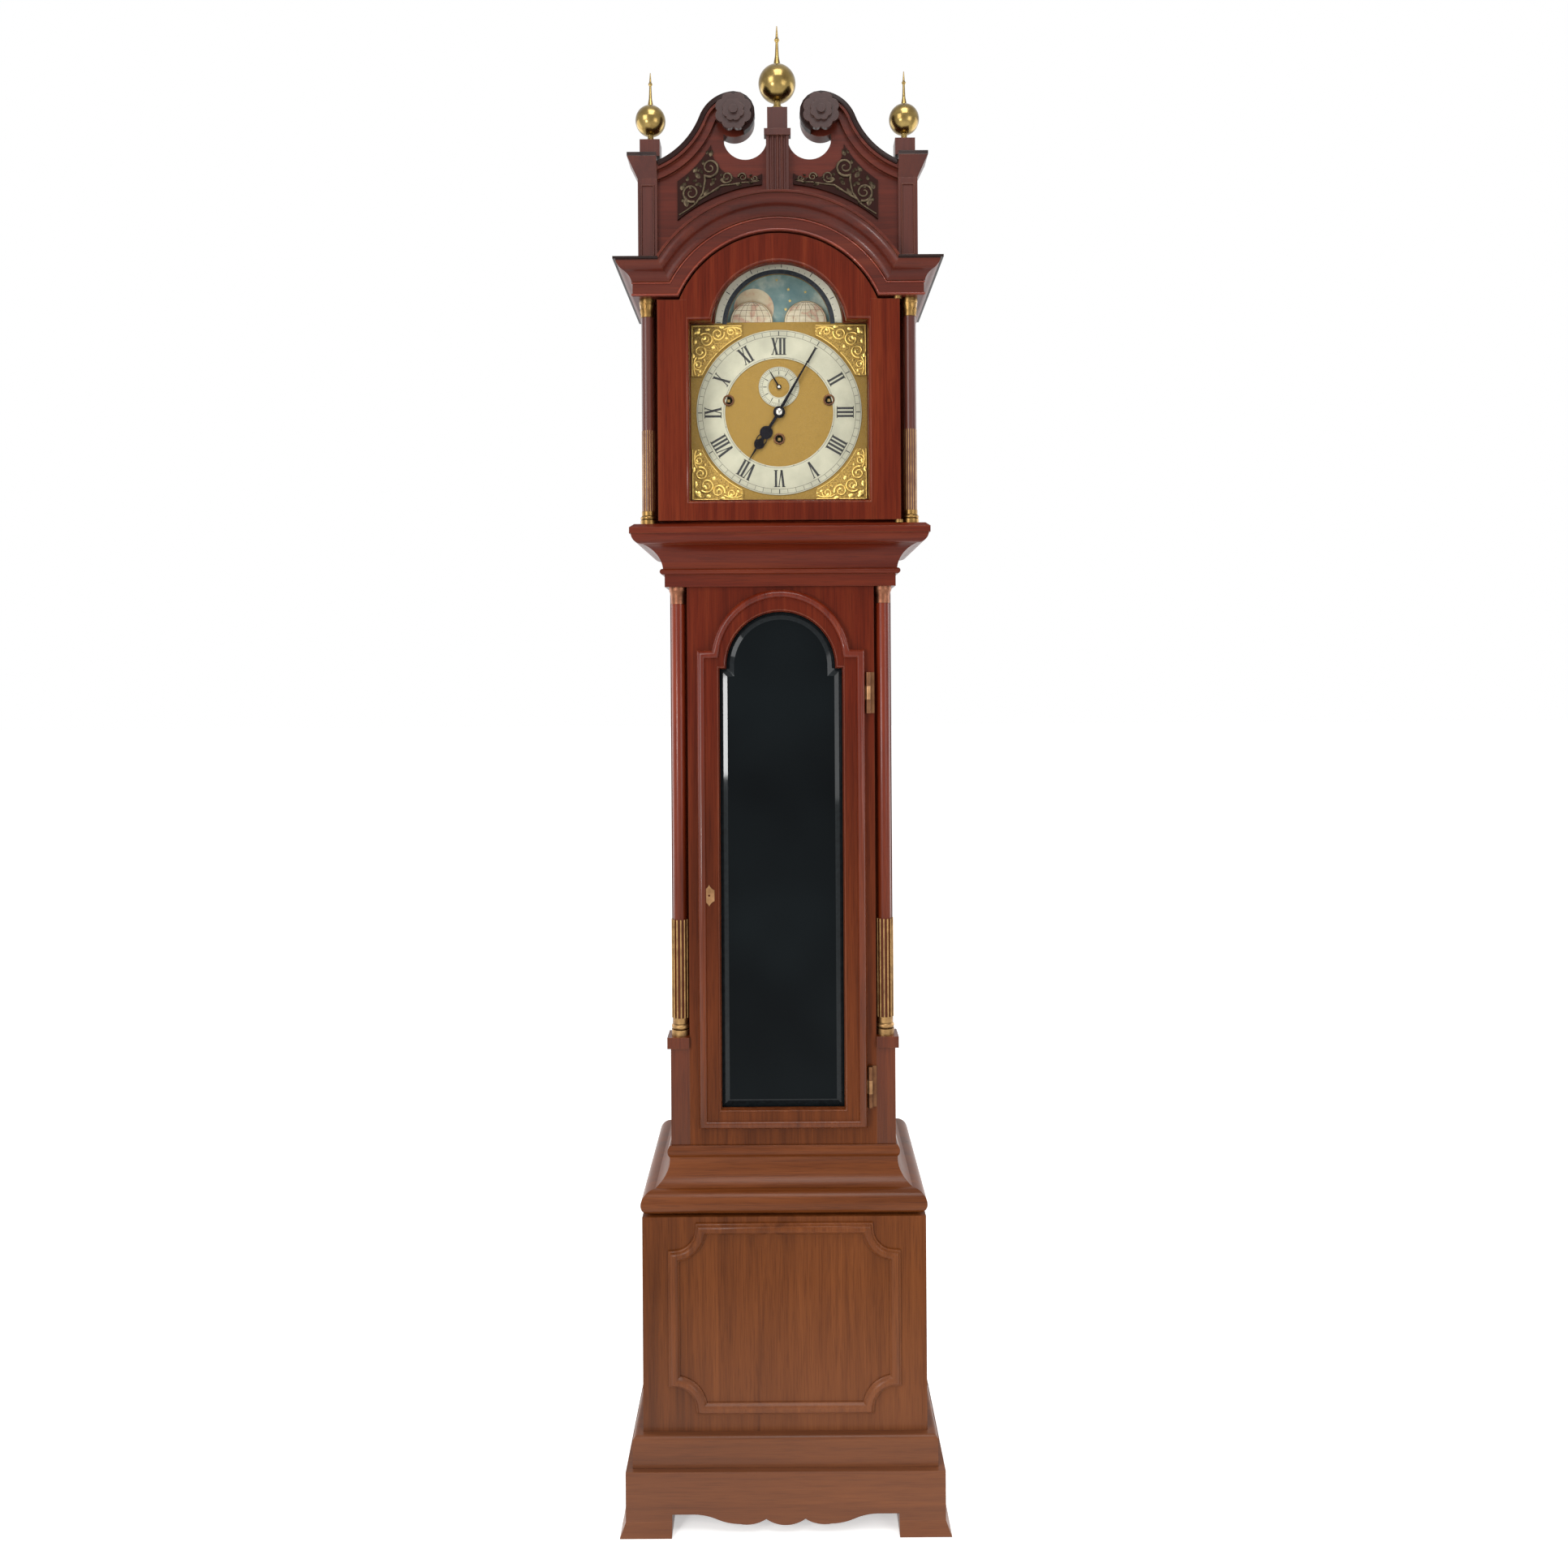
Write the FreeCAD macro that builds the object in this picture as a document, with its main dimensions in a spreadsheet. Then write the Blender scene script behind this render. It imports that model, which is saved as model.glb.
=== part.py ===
import FreeCAD, Part
import math
import os
import Sketcher
from types import SimpleNamespace

# A musical longcase clock: a mahogany case with a sliding hood, a glazed trunk door and a
# three-train movement that goes, strikes and plays on a nest of bells.
# The origin is on the floor in the middle of the clock. The front looks along -Y and +Z is up.
# Depths named "front" are measured forward from the flat back of the clock.

doc = FreeCAD.newDocument("LongcaseClock")
sheet = doc.addObject("Spreadsheet::Sheet", "Sizes")


class Size:
    """A length together with the sheet formula that gives it."""

    def __init__(self, value, formula):
        self.value = value
        self.formula = formula

    def __add__(self, other):
        return combined(self, "+", other)

    def __radd__(self, other):
        return combined(other, "+", self)

    def __sub__(self, other):
        return combined(self, "-", other)

    def __rsub__(self, other):
        return combined(other, "-", self)

    def __mul__(self, other):
        return combined(self, "*", other)

    def __rmul__(self, other):
        return combined(other, "*", self)

    def __truediv__(self, other):
        return combined(self, "/", other)

    def __rtruediv__(self, other):
        return combined(other, "/", self)

    def __neg__(self):
        return combined(0, "-", self)


OPERATIONS = {
    "+": lambda first, second: first + second,
    "-": lambda first, second: first - second,
    "*": lambda first, second: first * second,
    "/": lambda first, second: first / second,
}


def as_size(number):
    """A plain number read as a size, so that both can stand in one formula."""
    if isinstance(number, Size):
        return number
    return Size(number, repr(float(number)))


def combined(first, sign, second):
    first = as_size(first)
    second = as_size(second)
    value = OPERATIONS[sign](first.value, second.value)
    return Size(value, f"({first.formula} {sign} {second.formula})")


def root(square):
    return Size(math.sqrt(square.value), f"sqrt({square.formula})")


def sheet_sizes(entries):
    """Write the driving dimensions into the sheet and hand them back by name."""
    for row, (name, value) in enumerate(entries.items(), start=1):
        sheet.set(f"A{row}", name)
        sheet.set(f"B{row}", str(value))
        sheet.setAlias(f"B{row}", name)
    doc.recompute()
    return SimpleNamespace(**{name: Size(float(sheet.get(name)), f"Sizes.{name}") for name in entries})


def bind(thing, prop, wanted):
    thing.setExpression(prop, as_size(wanted).formula)


def place(thing, x=0, y=0, z=0):
    for axis, wanted in zip("xyz", (x, y, z)):
        bind(thing, f"Placement.Base.{axis}", wanted)


class Arc:
    """A round stretch between two outline points; turn is +1 anticlockwise and -1 clockwise."""

    def __init__(self, radius, turn):
        self.radius = as_size(radius)
        self.turn = turn


def arc_centre(start, end, arc):
    """Centre of the shorter arc from start to end."""
    chord = end - start
    reach = math.sqrt(max(arc.radius.value ** 2 - (chord.Length / 2) ** 2, 0.0))
    left = FreeCAD.Vector(-chord.y, chord.x, 0).normalize()
    return (start + end) * 0.5 + left * (reach * arc.turn)


def spot(pair):
    return FreeCAD.Vector(as_size(pair[0]).value, as_size(pair[1]).value, 0)


def draw(sketch, outline, closed=True):
    """Add an outline of points and arcs, each point and radius bound to its formula."""
    points = [item for item in outline if not isinstance(item, Arc)]
    bends = {}
    for index, item in enumerate(outline):
        if isinstance(item, Arc):
            bends[sum(not isinstance(other, Arc) for other in outline[:index]) - 1] = item
    limits = []
    formulas = []
    base = sketch.ConstraintCount
    links = len(points) if closed else len(points) - 1
    ends = []
    for index in range(links):
        start = spot(points[index])
        end = spot(points[(index + 1) % len(points)])
        if index in bends:
            bend = bends[index]
            centre = arc_centre(start, end, bend)
            first, last = (start, end) if bend.turn > 0 else (end, start)
            circle = Part.Circle(centre, FreeCAD.Vector(0, 0, 1), bend.radius.value)
            limits_on_circle = (circle.parameter(first), circle.parameter(last))
            edge = sketch.addGeometry(Part.ArcOfCircle(circle, *limits_on_circle))
            ends.append((edge, 1, 2) if bend.turn > 0 else (edge, 2, 1))
            limits.append(Sketcher.Constraint("Radius", edge, bend.radius.value))
            formulas.append(bend.radius)
        else:
            ends.append((sketch.addGeometry(Part.LineSegment(start, end)), 1, 2))
    for index, pair in enumerate(points):
        edge, pos = (ends[index][0], ends[index][1]) if index < links else (ends[-1][0], ends[-1][2])
        for kind, wanted in zip(("DistanceX", "DistanceY"), pair):
            limits.append(Sketcher.Constraint(kind, -1, 1, edge, pos, as_size(wanted).value))
            formulas.append(as_size(wanted))
    count = len(limits)
    for index in range(links if closed else links - 1):
        edge, _, tail = ends[index]
        following, head, _ = ends[(index + 1) % links]
        limits.append(Sketcher.Constraint("Coincident", edge, tail, following, head))
    sketch.addConstraint(limits)
    for offset in range(count):
        bind(sketch, f"Constraints[{base + offset}]", formulas[offset])


def draw_circle(sketch, u, v, radius):
    radius = as_size(radius)
    base = sketch.ConstraintCount
    edge = sketch.addGeometry(Part.Circle(spot((u, v)), FreeCAD.Vector(0, 0, 1), radius.value))
    sketch.addConstraint([
        Sketcher.Constraint("DistanceX", -1, 1, edge, 3, as_size(u).value),
        Sketcher.Constraint("DistanceY", -1, 1, edge, 3, as_size(v).value),
        Sketcher.Constraint("Radius", edge, radius.value),
    ])
    for offset, wanted in enumerate((u, v, radius)):
        bind(sketch, f"Constraints[{base + offset}]", wanted)


def body_sketch(body, role, start=0):
    """A sketch of the body's own on an origin plane, moved along the plane's normal by start."""
    sketch = body.newObject("Sketcher::SketchObject", body.Name + "_sketch")
    plane = next(item for item in body.Origin.OriginFeatures if item.Role == role)
    sketch.AttachmentSupport = [(plane, "")]
    sketch.MapMode = "FlatFace"
    bind(sketch, "AttachmentOffset.Base.z", start)
    return sketch


def new_body(label):
    body = doc.addObject("PartDesign::Body", label)
    body.Label = label
    return body


def pad(body, role, start, depth, outlines, circles=()):
    sketch = body_sketch(body, role, start)
    for outline in outlines:
        draw(sketch, outline)
    for circle in circles:
        draw_circle(sketch, *circle)
    feature = body.newObject("PartDesign::Pad", body.Name + "_pad")
    feature.Profile = sketch
    bind(feature, "Length", depth)
    return feature


def turned(label, outline, x=0, y=0, z=0):
    """A piece turned on the lathe: the outline is radius and height, spun about its own Z axis."""
    body = new_body(label)
    sketch = body_sketch(body, "XZ_Plane")
    draw(sketch, outline)
    spin = body.newObject("PartDesign::Revolution", label + "_turning")
    spin.Profile = sketch
    spin.ReferenceAxis = (sketch, ["V_Axis"])
    spin.Angle = 360
    place(body, x, y, z)
    return body


def half_round(reach, low, high):
    """The points of a half-round that bulges outward between two levels."""
    radius = (high - low) / 2
    return [(reach, low), Arc(radius, 1), (reach + radius, low + radius), Arc(radius, 1), (reach, high)]


def rectangle(left, low, right, high):
    return [(left, low), (right, low), (right, high), (left, high)]


def box(label, x, y, z):
    """A plain board between pairs of limits along X, Y and Z."""
    board = doc.addObject("Part::Box", label)
    board.Label = label
    for prop, (low, high) in zip(("Length", "Width", "Height"), (x, y, z)):
        bind(board, prop, as_size(high) - low)
    place(board, x[0], y[0], z[0])
    return board


def rod(label, radius, length, x, y, z, axis="z"):
    """A round bar from (x, y, z) along +X, -Y or +Z."""
    bar = doc.addObject("Part::Cylinder", label)
    bar.Label = label
    bind(bar, "Radius", radius)
    bind(bar, "Height", length)
    turns = {"z": (0, 0, 0), "x": (0, 90, 0), "y": (0, 0, 90)}
    bar.Placement.Rotation = FreeCAD.Rotation(*turns[axis])
    place(bar, x, y, z)
    return bar


def mirrored(source):
    """The same piece on the other side of the clock's middle plane."""
    twin = doc.addObject("Part::Mirroring", source.Name + "_twin")
    twin.Source = source
    twin.Normal = FreeCAD.Vector(1, 0, 0)
    return twin


def both(source):
    return [source, mirrored(source)]


def cut(base, tool):
    result = doc.addObject("Part::Cut", base.Name + "_cut")
    result.Base = base
    result.Tool = tool
    return result


def common(base, tool):
    result = doc.addObject("Part::Common", base.Name + "_common")
    result.Base = base
    result.Tool = tool
    return result


def fused(*pieces):
    result = doc.addObject("Part::MultiFuse", pieces[0].Name + "_fused")
    result.Shapes = list(pieces)
    return result


def group(*pieces):
    """Separate solids that share one node."""
    result = doc.addObject("Part::Compound", "pieces")
    result.Links = list(pieces)
    return result


nodes = []


def node(label, piece):
    """Name a finished sub-part; its label also names its file."""
    piece.Label = label
    nodes.append(piece)
    return piece


def moulding(label, half_width, front, profile):
    """A run mitred round the left, front and right of the case.

    The profile is drawn with points (outward, up) from the line at half_width and front.
    """
    path = doc.addObject("Sketcher::SketchObject", label + "_path")
    corner_y = back - front
    line = [(-half_width, back), (-half_width, corner_y), (half_width, corner_y), (half_width, back)]
    draw(path, line, closed=False)
    section = doc.addObject("Sketcher::SketchObject", label + "_section")
    section.Placement.Rotation = FreeCAD.Rotation(
        FreeCAD.Vector(-1, 0, 0), FreeCAD.Vector(0, 0, 1), FreeCAD.Vector(0, 1, 0), "ZXY")
    draw(section, profile)
    place(section, -half_width, back, 0)
    run = doc.addObject("Part::Sweep", label)
    run.Sections = [section]
    run.Spine = (path, ["Edge1", "Edge2", "Edge3"])
    run.Solid = True
    run.Transition = "Right corner"
    return run

# Driving dimensions in millimetres. Most places are measured from a neighbouring part, as the
# calls of measured_from below say: heights from the part underneath, widths from the trunk, the
# base or the hood, and depths from the front of the trunk.
SIZES = {
    # whole case
    "board": 18,
    "backboard_thickness": 12,
    "slide_clearance": 2,
    "glass_clearance": 0.3,
    "running_clearance": 0.05,
    "side_clearance": 0.5,
    # plinth and bracket feet
    "apron_half_width": 26.5,
    "apron_front": 26,
    "apron_top": 102,
    "apron_edge": 33,
    "ogee_start": 150,
    "ogee_radius": 100,
    "dip_offset": 75,
    "dip_height": 17,
    "dip_radius": 60,
    "cusp_offset": 32,
    "cusp_height": 25,
    "drop_radius": 56,
    "foot_width": 76,
    "foot_pad_height": 21,
    "foot_flare": 9,
    "step_half_width": 16,
    "step_top": 153,
    "step_ease": 7,
    # base
    "base_half_width": 45,
    "base_front": 45,
    "base_top": 354,
    "panel_half_width": -42.5,
    "panel_low": 29,
    "panel_high": 345,
    "panel_corner": 45,
    "panel_rib_width": 19,
    "panel_rib_proud": 4,
    "panel_bead_width": 8,
    "torus_top": 40,
    "torus_reach": 47.5,
    "moulding_fillet": 2.5,
    "cove_radius": 45,
    "cove_top": 81,
    "bead_top": 102,
    "bead_radius": 15,
    # trunk
    "trunk_half_width": 190,
    "trunk_front": 285,
    "trunk_top": 1046,
    "column_recess": 40,
    "frame_half_width": -32,
    "frame_top": 1093,
    "post_width": 18,
    "block_top": 266,
    "block_cap_height": 19,
    "block_cap_reach": 5.5,
    "column_radius": 12,
    "column_base_height": 30,
    "column_inset": 16,
    "reed_top": 482,
    "reed_radius": 1.6,
    "reed_count": 9,
    "capital_height": 28,
    "capital_radius": 15.5,
    # trunk door
    "door_half_width": -48,
    "door_low": 132,
    "door_high": 1041,
    "door_arch_radius": 118,
    "door_shoulder": 939,
    "door_lip": 12,
    "door_overlap": 14,
    "door_tongue": 14,
    "door_bead": 4,
    "glass_half_width": -38.5,
    "glass_low": 166,
    "glass_high": 1003,
    "glass_arch_radius": 92,
    "glass_shoulder": 907,
    "glass_thickness": 5,
    "glass_rebate": 6,
    "hinge_gap": 5,
    "hinge_radius": 4.5,
    "hinge_pin_radius": 1.8,
    "hinge_length": 69,
    "hinge_low": 166,
    "hinge_high": 831,
    "leaf_width": 13,
    "leaf_thickness": 2,
    "keyhole_height": 526,
    "plate_half_width": 9,
    # throat and hood foot
    "throat_top": 1115,
    "throat_step": 23,
    "throat_reach": 38,
    "hood_foot_top": 32,
    "hood_foot_ovolo": 16,
    "hood_foot_band": 10,
    "hood_foot_reach": 56,
    # hood
    "cheek_top": -113,
    "hood_half_width": 36,
    "hood_front": 15,
    "vault_board": 10,
    "vault_radius": 200,
    "arch_height": 105,
    "arch_inner_radius": 180,
    "frieze_low": 178,
    "frieze_top": 202,
    "frieze_reach": 14,
    "cornice_reach": 43,
    "cornice_fillet": 4,
    "cyma_radius": 20,
    "cornice_top": 235,
    "tympanum_front": 41,
    "mask_back": -9,
    "mask_thickness": 8,
    "mask_overlap": 3,
    "pillar_offset": -8,
    "pillar_front": 33,
    "pillar_radius": 10.5,
    "pillar_base_height": 22,
    "pillar_capital_height": 30,
    "pillar_collar_radius": 13.5,
    # hood door
    "hood_door_half_width": -26,
    "hood_door_back": 33,
    "hood_door_thickness": 20,
    "hood_door_gap": 5,
    "hood_door_arch_gap": 3,
    "sight_half_width": -4.5,
    "sight_low": -158,
    "sight_high": 236,
    "sight_arch_radius": 113,
    "sight_shoulder": 140,
    "pane_thickness": 3,
    "pane_rebate": 6,
    "sight_bead": 4,
    "sight_bead_depth": 6,
    "pivot_inset": 3,
    "pivot_front": 47,
    "pivot_radius": 3,
    "pivot_depth": 10,
    "pivot_washer": 7,
    # pediment
    "pedestal_outer": 5,
    "pedestal_width": 32,
    "pedestal_proud": 8,
    "pedestal_top": 139,
    "cap_top": 177,
    "cap_reach": 16,
    "cap_fillet": 6,
    "finial_block_width": 33,
    "finial_block_top": 205,
    "finial_offset": -15,
    "side_ball_radius": 25,
    "side_finial_height": 117,
    "pilaster_half_width": 18.8,
    "pilaster_low": 114,
    "pilaster_top": 207,
    "pilaster_proud": 14,
    "flute_radius": 2.6,
    "flute_count": 4,
    "collar_top": 218,
    "collar_half_width": 22,
    "centre_block_half_width": 16.7,
    "centre_block_top": 257,
    "ball_radius": 31,
    "finial_height": 142,
    "rosette_offset": 72,
    "rosette_height": 245,
    "rosette_radius": 29,
    "rosette_depth": 16,
    "rosette_petals": 8,
    "rosette_spigot": 9,
    "scroll_radius": 34,
    "scroll_band": 24,
    "scroll_proud": 14,
    "scroll_foot": 165,
    "neck_low_radius": 135,
    "neck_high_radius": 64,
    "neck_offset": 128,
    "neck_height": 237,
    "void_offset": 53,
    "void_low": 173,
    "void_side": 198,
    "void_radius": 36,
    "fret_depth": 3,
    "fret_left": 166,
    "fret_right": 26,
    "fret_gap": 25,
    "fret_shoulder": 137,
    "fret_peak_offset": 110,
    "fret_peak": 197,
    "fret_void_radius": 55,
    "fret_toe": 149,
    # dial
    "dial_front": -13,
    "dial_height": 228,
    "dial_half_width": 152.5,
    "dial_arch_height": 148,
    "dial_arch_radius": 112,
    "dial_thickness": 3,
    "dial_foot_offset": 90,
    "chapter_outer": 140.5,
    "chapter_inner": 92,
    "seconds_outer": 34.5,
    "seconds_inner": 18,
    "lunar_outer": 108,
    "lunar_inner": 96,
    "ring_thickness": 1.5,
    "spandrel_margin": 4,
    "spandrel_foot": 62,
    "spandrel_depth": 3,
    "winding_hole": 6.5,
    "moon_opening": 88,
    "moon_sill": 6,
    "hump_radius": 36,
    "hump_offset": 46,
    "moon_radius": 95,
    "moon_gap": 4,
    "moon_thickness": 2,
    "moon_stud_drop": 4,
    # movement frame
    "seat_front": -45,
    "seat_back": 60,
    "back_plate_front": -127,
    "front_plate_front": -63,
    "plate_thickness": 4,
    "movement_half_width": 140,
    "plate_rise": 100,
    "plate_margin": 12,
    "plate_pillar_radius": 5,
    "arbor_radius": 1.5,
    "barrel_arbor_radius": 4,
    "wheel_thickness": 2.5,
    "addendum_ratio": 0.9,
    "dedendum_ratio": 1.3,
    "tooth_ratio": 0.8,
    # going train, placed from the middle of the dial
    "going_x": 0,
    "going_z": -45,
    "great_gap": 4,
    "centre_gap": 6,
    "third_x": 13.2,
    "third_z": 23.8,
    "third_gap": 8,
    "escape_z": 43.4,
    "escape_gap": 16,
    "escape_radius": 19,
    "pallet_z": 70,
    "pallet_gap": 2.4,
    "anchor_width": 7,
    "crutch_width": 8,
    "crutch_low": -10,
    # motion work and hands
    "motion_gap": 4,
    "minute_x": 31.2,
    "minute_z": -18,
    "minute_hub_radius": 2.2,
    "stud_radius": 1.2,
    "cannon_radius": 3,
    "hour_pipe_radius": 5,
    "seconds_front": -10.8,
    "hour_front": -9,
    "minute_front": -5,
    "hand_thickness": 1.5,
    "seconds_thickness": 0.8,
    "hour_length": 86,
    "minute_length": 122,
    "seconds_length": 29,
    "hour_boss": 10,
    "minute_boss": 8,
    "seconds_boss": 4,
    # striking and music trains
    "strike_x": -86,
    "strike_z": 21,
    "music_x": 85,
    "music_z": 21,
    "strike_wheel_radius": 40,
    "cylinder_rise": 48.6,
    "cylinder_radius": 20,
    "drum_radius": 24,
    "drum_gap": 2,
    "square_width": 5,
    "square_front": -15,
    "bell_rise": 135,
    "bell_radius": 30,
    "bell_step": 2,
    "bell_pitch": 24,
    "bell_count": 8,
    "bell_wall": 1.5,
    "bell_rod_radius": 1.8,
    "bell_post": 108,
    "post_half_width": 4,
    "hammer_rise": 108,
    "hammer_gap": 2,
    "hammer_radius": 2.5,
    # lines, weights and pendulum
    "line_front": -93,
    "line_radius": 1.2,
    "line_clearance": 0.3,
    "line_hole": 4,
    "weight_low": 110,
    "weight_height": 180,
    "weight_radius": 28,
    "pulley_gap": 12,
    "pulley_width": 6,
    "pendulum_front": -147,
    "pendulum_slot": 18,
    "pendulum_rod_radius": 4,
    "pendulum_length": 994,
    "pendulum_tail": 75,
    "bob_radius": 55,
    "bob_thickness": 30,
    "cock_gap": 0.5,
    "cock_height": 12,
}
d = sheet_sizes(SIZES)


def measured_from(datum_name, names):
    """Add a datum to the places that are written as distances from it."""
    for name in names:
        setattr(d, name, getattr(d, datum_name) + getattr(d, name))


measured_from("trunk_half_width", [
    "base_half_width", "frame_half_width", "door_half_width", "hood_half_width",
])
measured_from("base_half_width", ["apron_half_width", "step_half_width", "panel_half_width"])
measured_from("door_half_width", ["glass_half_width"])
measured_from("hood_half_width", [
    "pillar_offset", "hood_door_half_width", "pedestal_outer", "finial_offset",
])
measured_from("dial_half_width", ["sight_half_width"])
measured_from("trunk_front", [
    "base_front", "hood_front", "tympanum_front", "mask_back", "pillar_front", "hood_door_back",
    "pivot_front", "dial_front", "seat_front", "front_plate_front", "back_plate_front",
    "pendulum_front", "line_front", "square_front", "seconds_front", "hour_front", "minute_front",
])
measured_from("base_front", ["apron_front"])
measured_from("step_top", ["base_top", "panel_low", "panel_high"])
measured_from("base_top", [
    "torus_top", "cove_top", "bead_top", "trunk_top", "frame_top", "block_top", "reed_top", "door_low",
    "door_high", "door_shoulder", "glass_low", "glass_high", "glass_shoulder", "hinge_low",
    "hinge_high", "keyhole_height", "throat_top",
])
measured_from("throat_top", ["hood_foot_top", "dial_height"])
measured_from("dial_height", [
    "cheek_top", "arch_height", "dial_arch_height", "sight_low", "sight_high", "sight_shoulder",
    "frieze_low", "frieze_top", "cornice_top",
])
measured_from("cornice_top", [
    "pedestal_top", "cap_top", "finial_block_top", "pilaster_low", "pilaster_top", "collar_top",
    "centre_block_top", "rosette_height", "scroll_foot", "neck_height", "void_low", "void_side",
    "fret_shoulder", "fret_peak", "fret_toe",
])
back = (d.tympanum_front + d.cornice_reach) / 2


def ahead(front):
    """The Y place of a face lying the given distance forward of the back."""
    return back - front


def forward(front):
    """The same distance measured along the normal of the XZ plane, which looks forward."""
    return front - back


def arch_outline(half_width, low, high, radius, shoulder):
    """A door-shaped outline with square shoulders and a round arch on top."""
    return [
        (-half_width, low),
        (half_width, low),
        (half_width, shoulder),
        (arch_reach(radius, high, shoulder), shoulder),
        Arc(radius, 1),
        (0, high),
        Arc(radius, 1),
        (-arch_reach(radius, high, shoulder), shoulder),
        (-half_width, shoulder),
    ]


def arch_reach(radius, high, level):
    """Half the width of an arch at a level, from its radius and its top."""
    rise = level - (high - radius)
    return root(radius * radius - rise * rise)


# Bracket plinth: a scalloped apron board in front and a plain shaped board at each side.
apron_side = d.apron_half_width - d.board
foot_inner = d.apron_half_width - d.foot_width
plinth = new_body("plinth_boards")


def apron_curve(side):
    """The ogee from the foot down to the dip and up to a cusp; side is -1 on the left."""
    curve = [
        (side * d.ogee_start, d.apron_edge), Arc(d.ogee_radius, -1),
        (side * (d.ogee_start + d.dip_offset) / 2, (d.apron_edge + d.dip_height) / 2),
        Arc(d.ogee_radius, 1),
        (side * d.dip_offset, d.dip_height), Arc(d.dip_radius, 1),
        (side * d.cusp_offset, d.cusp_height),
    ]
    return curve if side < 0 else curve[::-1]


pad(plinth, "XZ_Plane", forward(d.apron_front - d.board), d.board, [[
    (-d.apron_half_width, d.apron_top),
    (-d.apron_half_width, d.foot_pad_height),
    (-foot_inner, d.foot_pad_height),
    (-foot_inner, d.apron_edge),
    *apron_curve(-1),
    Arc(d.drop_radius, 1),
    *apron_curve(1),
    (foot_inner, d.apron_edge),
    (foot_inner, d.foot_pad_height),
    (d.apron_half_width, d.foot_pad_height),
    (d.apron_half_width, d.apron_top),
]])
side_front = ahead(d.apron_front - d.board)
side_outline = [
    (side_front, d.apron_top),
    (side_front, d.foot_pad_height),
    (side_front + d.foot_width - d.board, d.foot_pad_height),
    (side_front + d.foot_width - d.board, d.apron_edge),
    (back - d.foot_width, d.apron_edge),
    (back - d.foot_width, d.foot_pad_height),
    (back, d.foot_pad_height),
    (back, d.apron_top),
]
for start in (-d.apron_half_width, apron_side):
    pad(plinth, "YZ_Plane", start, d.board, [side_outline])


def foot_pad(name, reach_front, low_y, high_y):
    """A flared block under one foot: wider at the floor on its outer faces."""
    wedge = doc.addObject("Part::Wedge", name)
    limits = {
        "Xmin": foot_inner, "Xmax": d.apron_half_width + d.foot_flare,
        "X2min": foot_inner, "X2max": d.apron_half_width,
        "Ymin": 0, "Ymax": d.foot_pad_height,
        "Zmin": -high_y, "Zmax": reach_front - low_y,
        "Z2min": -high_y, "Z2max": -low_y,
    }
    for prop, wanted in limits.items():
        bind(wedge, prop, wanted)
    wedge.Placement.Rotation = FreeCAD.Rotation(FreeCAD.Vector(1, 0, 0), 90)
    return wedge


front_pad = foot_pad("front_foot", d.foot_flare, ahead(d.apron_front), ahead(d.apron_front - d.foot_width))
rear_pad = foot_pad("rear_foot", 0, back - d.foot_width, back)
node("bracket_plinth", group(plinth, *both(front_pad), *both(rear_pad)))

# Plinth step: a board with an eased upper edge that carries the base.
node("plinth_moulding", moulding("plinth_step", d.base_half_width, d.base_front, [
    (0, d.apron_top),
    (d.step_half_width - d.base_half_width, d.apron_top),
    (d.step_half_width - d.base_half_width, d.step_top - d.step_ease),
    Arc(d.step_ease, 1),
    (d.step_half_width - d.base_half_width - d.step_ease, d.step_top),
    (0, d.step_top),
]))

# Base box: front and side boards standing inside the plinth.
base_inner = d.base_half_width - d.board
base = new_body("base_walls")
pad(base, "XY_Plane", d.apron_edge, d.base_top - d.apron_edge, [[
    (-d.base_half_width, back),
    (-d.base_half_width, ahead(d.base_front)),
    (d.base_half_width, ahead(d.base_front)),
    (d.base_half_width, back),
    (base_inner, back),
    (base_inner, ahead(d.base_front - d.board)),
    (-base_inner, ahead(d.base_front - d.board)),
    (-base_inner, back),
]])

# Liner that joins the plinth boards to the base box behind the apron.
liner_side = (d.base_half_width, apron_side)
liner_front = (ahead(d.apron_front - d.board), ahead(d.base_front))
liner_height = (d.apron_edge, d.apron_top)
front_liner = box("front_liner", (-apron_side, apron_side), liner_front, liner_height)
side_liner = box("side_liner", liner_side, (ahead(d.base_front), back), liner_height)


def panel_outline(inset):
    """A rectangle whose corners are scooped out."""
    right = d.panel_half_width - inset
    low = d.panel_low + inset
    high = d.panel_high - inset
    scoop = d.panel_corner
    return [
        (-right + scoop, low), (right - scoop, low), Arc(scoop, -1),
        (right, low + scoop), (right, high - scoop), Arc(scoop, -1),
        (right - scoop, high), (-right + scoop, high), Arc(scoop, -1),
        (-right, high - scoop), (-right, low + scoop), Arc(scoop, -1),
    ]


# Applied panel moulding: a flat rib with a bead along its middle and scooped corners.
panel = new_body("base_panel_moulding")
pad(panel, "XZ_Plane", forward(d.base_front), d.panel_rib_proud,
    [panel_outline(0), panel_outline(d.panel_rib_width)])
bead_inset = (d.panel_rib_width - d.panel_bead_width) / 2
pad(panel, "XZ_Plane", forward(d.base_front), d.panel_rib_proud * 2,
    [panel_outline(bead_inset), panel_outline(bead_inset + d.panel_bead_width)])
node("base_panel_moulding", panel)

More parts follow.
